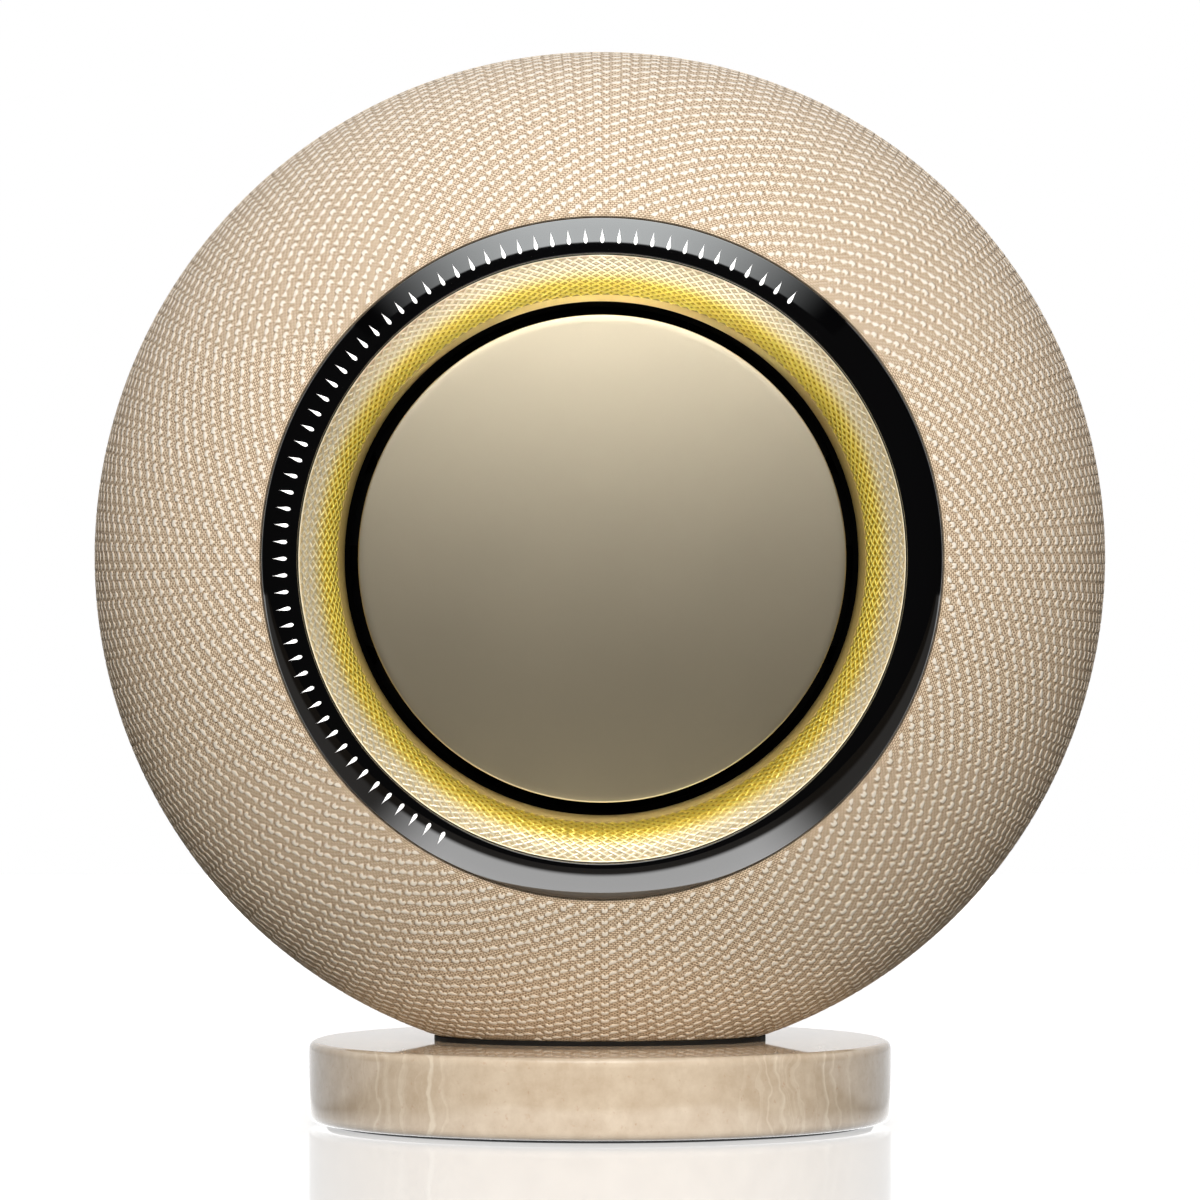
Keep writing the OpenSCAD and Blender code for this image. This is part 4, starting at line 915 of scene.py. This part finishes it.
# %% The foot
STONE_R, STONE_BOTTOM, STONE_TOP, STONE_EDGE = 92.3, 1.0, 26.4, 3.0
stone, tree, bsdf = finish("Polished travertine", linear(214, 194, 169), 0.06, 0.0, Specular_IOR_Level=0.55)
pattern = add(tree, "ShaderNodeGroup", node_tree=rock)
tone = mixed(tree, pattern.outputs["Layers"], linear(197, 179, 157), linear(210, 193, 172))
tone = mixed(tree, times(tree, pattern.outputs["Streaks"], 0.55), tone, linear(236, 225, 207))
tone = mixed(tree, 0.7, tone, pattern.outputs["Clouds"], "SOFT_LIGHT")
tone = mixed(tree, times(tree, pattern.outputs["Specks"], 0.5), tone, linear(176, 122, 92))
tree.links.new(tone, bsdf.inputs["Base Color"])
bumped(tree, bsdf, pattern.outputs["Specks"], 0.15, 0.2 * MM, invert=True)

RING_RO, RING_W, RING_SEAT = 86.3, 9.0, 1.5
foot_outline = rounded(
    [[0, STONE_TOP], [STONE_R, STONE_TOP], [STONE_R, STONE_BOTTOM], [RING_RO + 0.3, STONE_BOTTOM],
     [RING_RO + 0.3, STONE_BOTTOM + RING_SEAT], [RING_RO - RING_W - 0.3, STONE_BOTTOM + RING_SEAT],
     [RING_RO - RING_W - 0.3, STONE_BOTTOM], [0, STONE_BOTTOM]],
    [0, STONE_EDGE, STONE_EDGE, 0.3, 0, 0, 0.3, 0], steps=8)
foot = turned("stone_disc", foot_outline, steps=240, sharp=50, where=upright)
finish_piece(foot, "cabinet", "stone", stone, "stone_foot")
tread = turned("rubber_tread", rounded(
    [[RING_RO, STONE_BOTTOM + RING_SEAT], [RING_RO, 0], [RING_RO - RING_W, 0],
     [RING_RO - RING_W, STONE_BOTTOM + RING_SEAT]], [0, 0.5, 0.5, 0]), steps=180, where=upright)
finish_piece(tread, "cabinet", "rubber", by_slot["rubber"], "rubber_ring")

# %% [markdown]
# ## The back
# The mouldings and castings of the back keep the shapes that they have in the model, with the edges
# eased. Each is a copy of its solid: doubles are merged, flat faces are joined, and every sharp edge
# gets a narrow round, because an eased edge is what catches the light.

# %% Easing the edges of a CAD solid


def eased(node, width, material=None, angle=28):
    """A copy of a CAD node with its sharp edges rounded by width, in millimetres."""
    source = frame["nodes"][node]
    mesh = source.data.copy()
    bm = bmesh.new()
    bm.from_mesh(mesh)
    bmesh.ops.remove_doubles(bm, verts=bm.verts, dist=2e-6)
    bmesh.ops.dissolve_limit(bm, angle_limit=math.radians(1), verts=bm.verts, edges=bm.edges)
    keen = [e for e in bm.edges if len(e.link_faces) == 2 and e.calc_face_angle(0) > math.radians(angle)]
    bmesh.ops.bevel(bm, geom=keen, offset=width * MM, segments=2, profile=0.5, affect="EDGES",
                    clamp_overlap=True)
    bm.to_mesh(mesh)
    bm.free()
    obj = link(f"{node}_eased", mesh)
    tidy(mesh, sharp=40)
    # the large flat faces decide the normals, so that the rounds don't shade them
    weigh = obj.modifiers.new("weigh", "WEIGHTED_NORMAL")
    weigh.keep_sharp = True
    applied(obj)
    return finish_piece(obj, source["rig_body"], node_slot[node], material or by_slot[node_slot[node]], node)


socket_black = grained("Gloss moulding", linear(14, 14, 15), 0.25, 0.0, 0.3, 0.15)
for node, width in (("rear_panel", 0.5), ("heat_sink", 0.3), ("socket_block", 0.3), ("power_inlet", 0.3),
                    ("pair_button", 0.3), ("mic_switch", 0.3)):
    eased(node, width, socket_black if node in ("socket_block", "power_inlet") else None)

# %% [markdown]
# ## Camera and light
# The speaker is seen from the front, with a long lens a little above its middle. The floor and the
# world are white. A wide soft light hangs over it, so the top of each surface is the bright part and
# the light falls away towards the bottom. Polished surfaces see a darker studio at the sides, and of
# the floor only a strip before the foot, as they would between two black flags.

# %% The floor
FLOOR_GLOW, MIRROR_SHARE, BACKDROP, ROOM, AMBIENT = 0.86, 0.4, 1.15, 0.01, 0.04
white, tree, bsdf = finish("White table", linear(56, 50, 42), 0.9, 0.0, Specular_IOR_Level=0.0)
path = add(tree, "ShaderNodeLightPath")
spot = apart(tree, object_place(tree))
near = times(tree, ramped(tree, sums(tree, "ABSOLUTE", spot["X"]), 0.09, 0.17, 1.0, 0.05),
            ramped(tree, spot["Y"], -0.23, -0.18, 0.05, 2.0))
near = sums(tree, "MAXIMUM", near, ramped(tree, spot["Y"], -0.03, 0.06, 0.0, 1.1))
looked_at = sums(tree, "MAXIMUM", times(tree, near, path.outputs["Is Glossy Ray"]),
                 sums(tree, "MAXIMUM", times(tree, path.outputs["Is Camera Ray"], FLOOR_GLOW),
                      path.outputs["Is Transmission Ray"]))
# the camera sees a paler table than the speaker does, so that the soft shadow shows on it
tone = mixed(tree, path.outputs["Is Camera Ray"], linear(56, 50, 42), linear(146, 144, 141))
tree.links.new(tone, bsdf.inputs["Base Color"])
bsdf.inputs["Emission Color"].default_value = (1.0, 1.0, 1.0, 1.0)
tree.links.new(looked_at, bsdf.inputs["Emission Strength"])
polish = add(tree, "ShaderNodeBsdfAnisotropic", {"Color": (1.0, 1.0, 1.0, 1.0), "Roughness": 0.04})
patch = times(tree, ramped(tree, sums(tree, "ABSOLUTE", spot["X"]), 0.11, 0.2, MIRROR_SHARE, 0.0),
             ramped(tree, spot["Y"], -0.04, 0.02, 1.0, 0.0))
facing = add(tree, "ShaderNodeLayerWeight", {"Blend": 0.5}).outputs["Facing"]
low_view = ramped(tree, facing, 0.84, 0.9, 0.0, 1.0)
share = times(tree, times(tree, path.outputs["Is Camera Ray"], patch), low_view)
both = add(tree, "ShaderNodeMixShader", {0: share, 1: bsdf.outputs[0], 2: polish.outputs[0]})
tree.links.new(both.outputs[0], tree.nodes["Material Output"].inputs["Surface"])


def sheet(name, half_width, y0, y1, z, material, order=(0, 1, 2, 3)):
    """A level rectangle of the studio, in metres."""
    mesh = bpy.data.meshes.new(name)
    corners = [(x * half_width, y, z) for x, y in ((-1, y0), (1, y0), (1, y1), (-1, y1))]
    mesh.from_pydata(corners, [], [order])
    mesh.materials.append(material)
    obj = link(name, mesh)
    return obj


sheet("floor", 1.6, -0.33, 1.8, 0, white)

# %% The card over the speaker, which only polished surfaces see
silk, tree, bsdf = finish("Light card", linear(0, 0, 0), 0.9, 0.0, Specular_IOR_Level=0.0)
spot = apart(tree, object_place(tree))
card_light = times(tree, ramped(tree, sums(tree, "ABSOLUTE", spot["X"]), 0.04, 0.4, 2.6, 0.0),
                  ramped(tree, spot["Y"], -0.62, -0.55, 0.0, 1.0))
bsdf.inputs["Emission Color"].default_value = (0.97, 1.0, 1.0, 1.0)
tree.links.new(card_light, bsdf.inputs["Emission Strength"])
card = sheet("card", 0.45, -0.64, 0.4, 0.606, silk, (3, 2, 1, 0))
card.visible_camera = card.visible_diffuse = card.visible_shadow = card.visible_transmission = False

# %% The world
# Diffuse surfaces get an even ambient light. Polished ones mirror a dark room with a white backdrop
# behind the speaker.
world = bpy.context.scene.world or bpy.data.worlds.new("Studio")
bpy.context.scene.world = world
world.use_nodes = True
tree = world.node_tree
tree.nodes.clear()
path = add(tree, "ShaderNodeLightPath")
way = apart(tree, add(tree, "ShaderNodeTexCoord").outputs["Generated"])
backdrop = ramped(tree, way["Y"], 0.1, 0.5, 0.0, BACKDROP)
room = plus(tree, backdrop, ROOM)
mirrored = add(tree, "ShaderNodeBackground", {"Strength": room})
ambient = add(tree, "ShaderNodeBackground", {"Color": (1.0, 0.9, 0.76, 1.0), "Strength": AMBIENT})
seen = add(tree, "ShaderNodeBackground", {"Color": (1.0, 1.0, 1.0, 1.0), "Strength": 1.0})


def either(mask, a, b):
    node = tree.nodes.new("ShaderNodeMixShader")
    for socket, value in zip(node.inputs, (mask, a, b)):
        tree.links.new(value, socket)
    return node.outputs[0]


lit_by = either(path.outputs["Is Glossy Ray"], ambient.outputs[0], mirrored.outputs[0])
shown = either(path.outputs["Is Camera Ray"], lit_by, seen.outputs[0])
add(tree, "ShaderNodeOutputWorld", {"Surface": shown})

# %% The lamps

ROLL_PARTS = (mesh_wires, backing, lip, rim)


def aimed(name, data, at, aim):
    """A lamp or camera at a place in metres, looking at a point."""
    obj = link(name, data)
    obj.location = at
    obj.rotation_mode = "QUATERNION"
    obj.rotation_quaternion = (Vector(aim) - Vector(at)).to_track_quat("-Z", "Y")
    return obj


def softbox(name, at, aim, size, watts, tint, only=(), spread=180):
    """An area lamp, aimed at a point. Only lists the pieces that it lights, and spread is in degrees."""
    lamp = bpy.data.lights.new(name, "AREA")
    lamp.shape, lamp.size, lamp.size_y, lamp.energy, lamp.color = "RECTANGLE", size[0], size[1], watts, tint
    obj = aimed(name, lamp, at, aim)
    obj.visible_glossy, obj.visible_camera = bool(only), False
    lamp.spread, lamp.use_shadow = math.radians(spread), ROLL_PARTS != only
    if only:
        obj.light_linking.receiver_collection = bpy.data.collections.new(name)
        for piece in only:
            obj.light_linking.receiver_collection.objects.link(piece)
    return obj


ON_PLATE, ON_ROLL = (0, -0.084, 0.179), (1.0, 0.98, 1.0)
softbox("overhead", (0, -0.5, 1.5), (0, 0, 0.18), (1.6, 1.2), 9.5, (0.92, 0.98, 1.1))
softbox("front", (0.0, -2.4, 0.8), (0, 0, 0.18), (1.4, 1.0), 74, (1.0, 0.96, 0.89))
softbox("plate card", (0.0, -0.65, 0.745), ON_PLATE, (0.55, 0.58), 5.8, (0.92, 0.98, 1.3), (plate,))
softbox("roll card", (0.0, -0.3, 0.02), (0, -0.08, 0.26), (0.3, 0.2), 0.45, (1.0, 0.98, 0.94), ROLL_PARTS)
softbox("roll low beam", (0.0, -0.3, -0.1), (0, -0.085, 0.275), (0.1, 0.04), 0.085, ON_ROLL, ROLL_PARTS, 16)
softbox("roll high beam", (0.0, -0.3, 0.46), (0, -0.085, 0.085), (0.1, 0.04), 0.015, ON_ROLL, ROLL_PARTS, 16)
softbox("back", (0.0, 2.4, 0.45), (0, 0, 0.18), (1.6, 0.7), 80, (1.0, 0.98, 0.95))

# %% The camera
camera = aimed("camera", bpy.data.cameras.new("camera"), (-0.022, -2.6, 0.1919), (0, 0, 0.1659))
camera.data.sensor_width, camera.data.lens = 36, 246
camera.data.clip_start, camera.data.clip_end = 0.1, 20
bpy.context.scene.camera = camera
bpy.context.scene.view_settings.view_transform = "Standard"
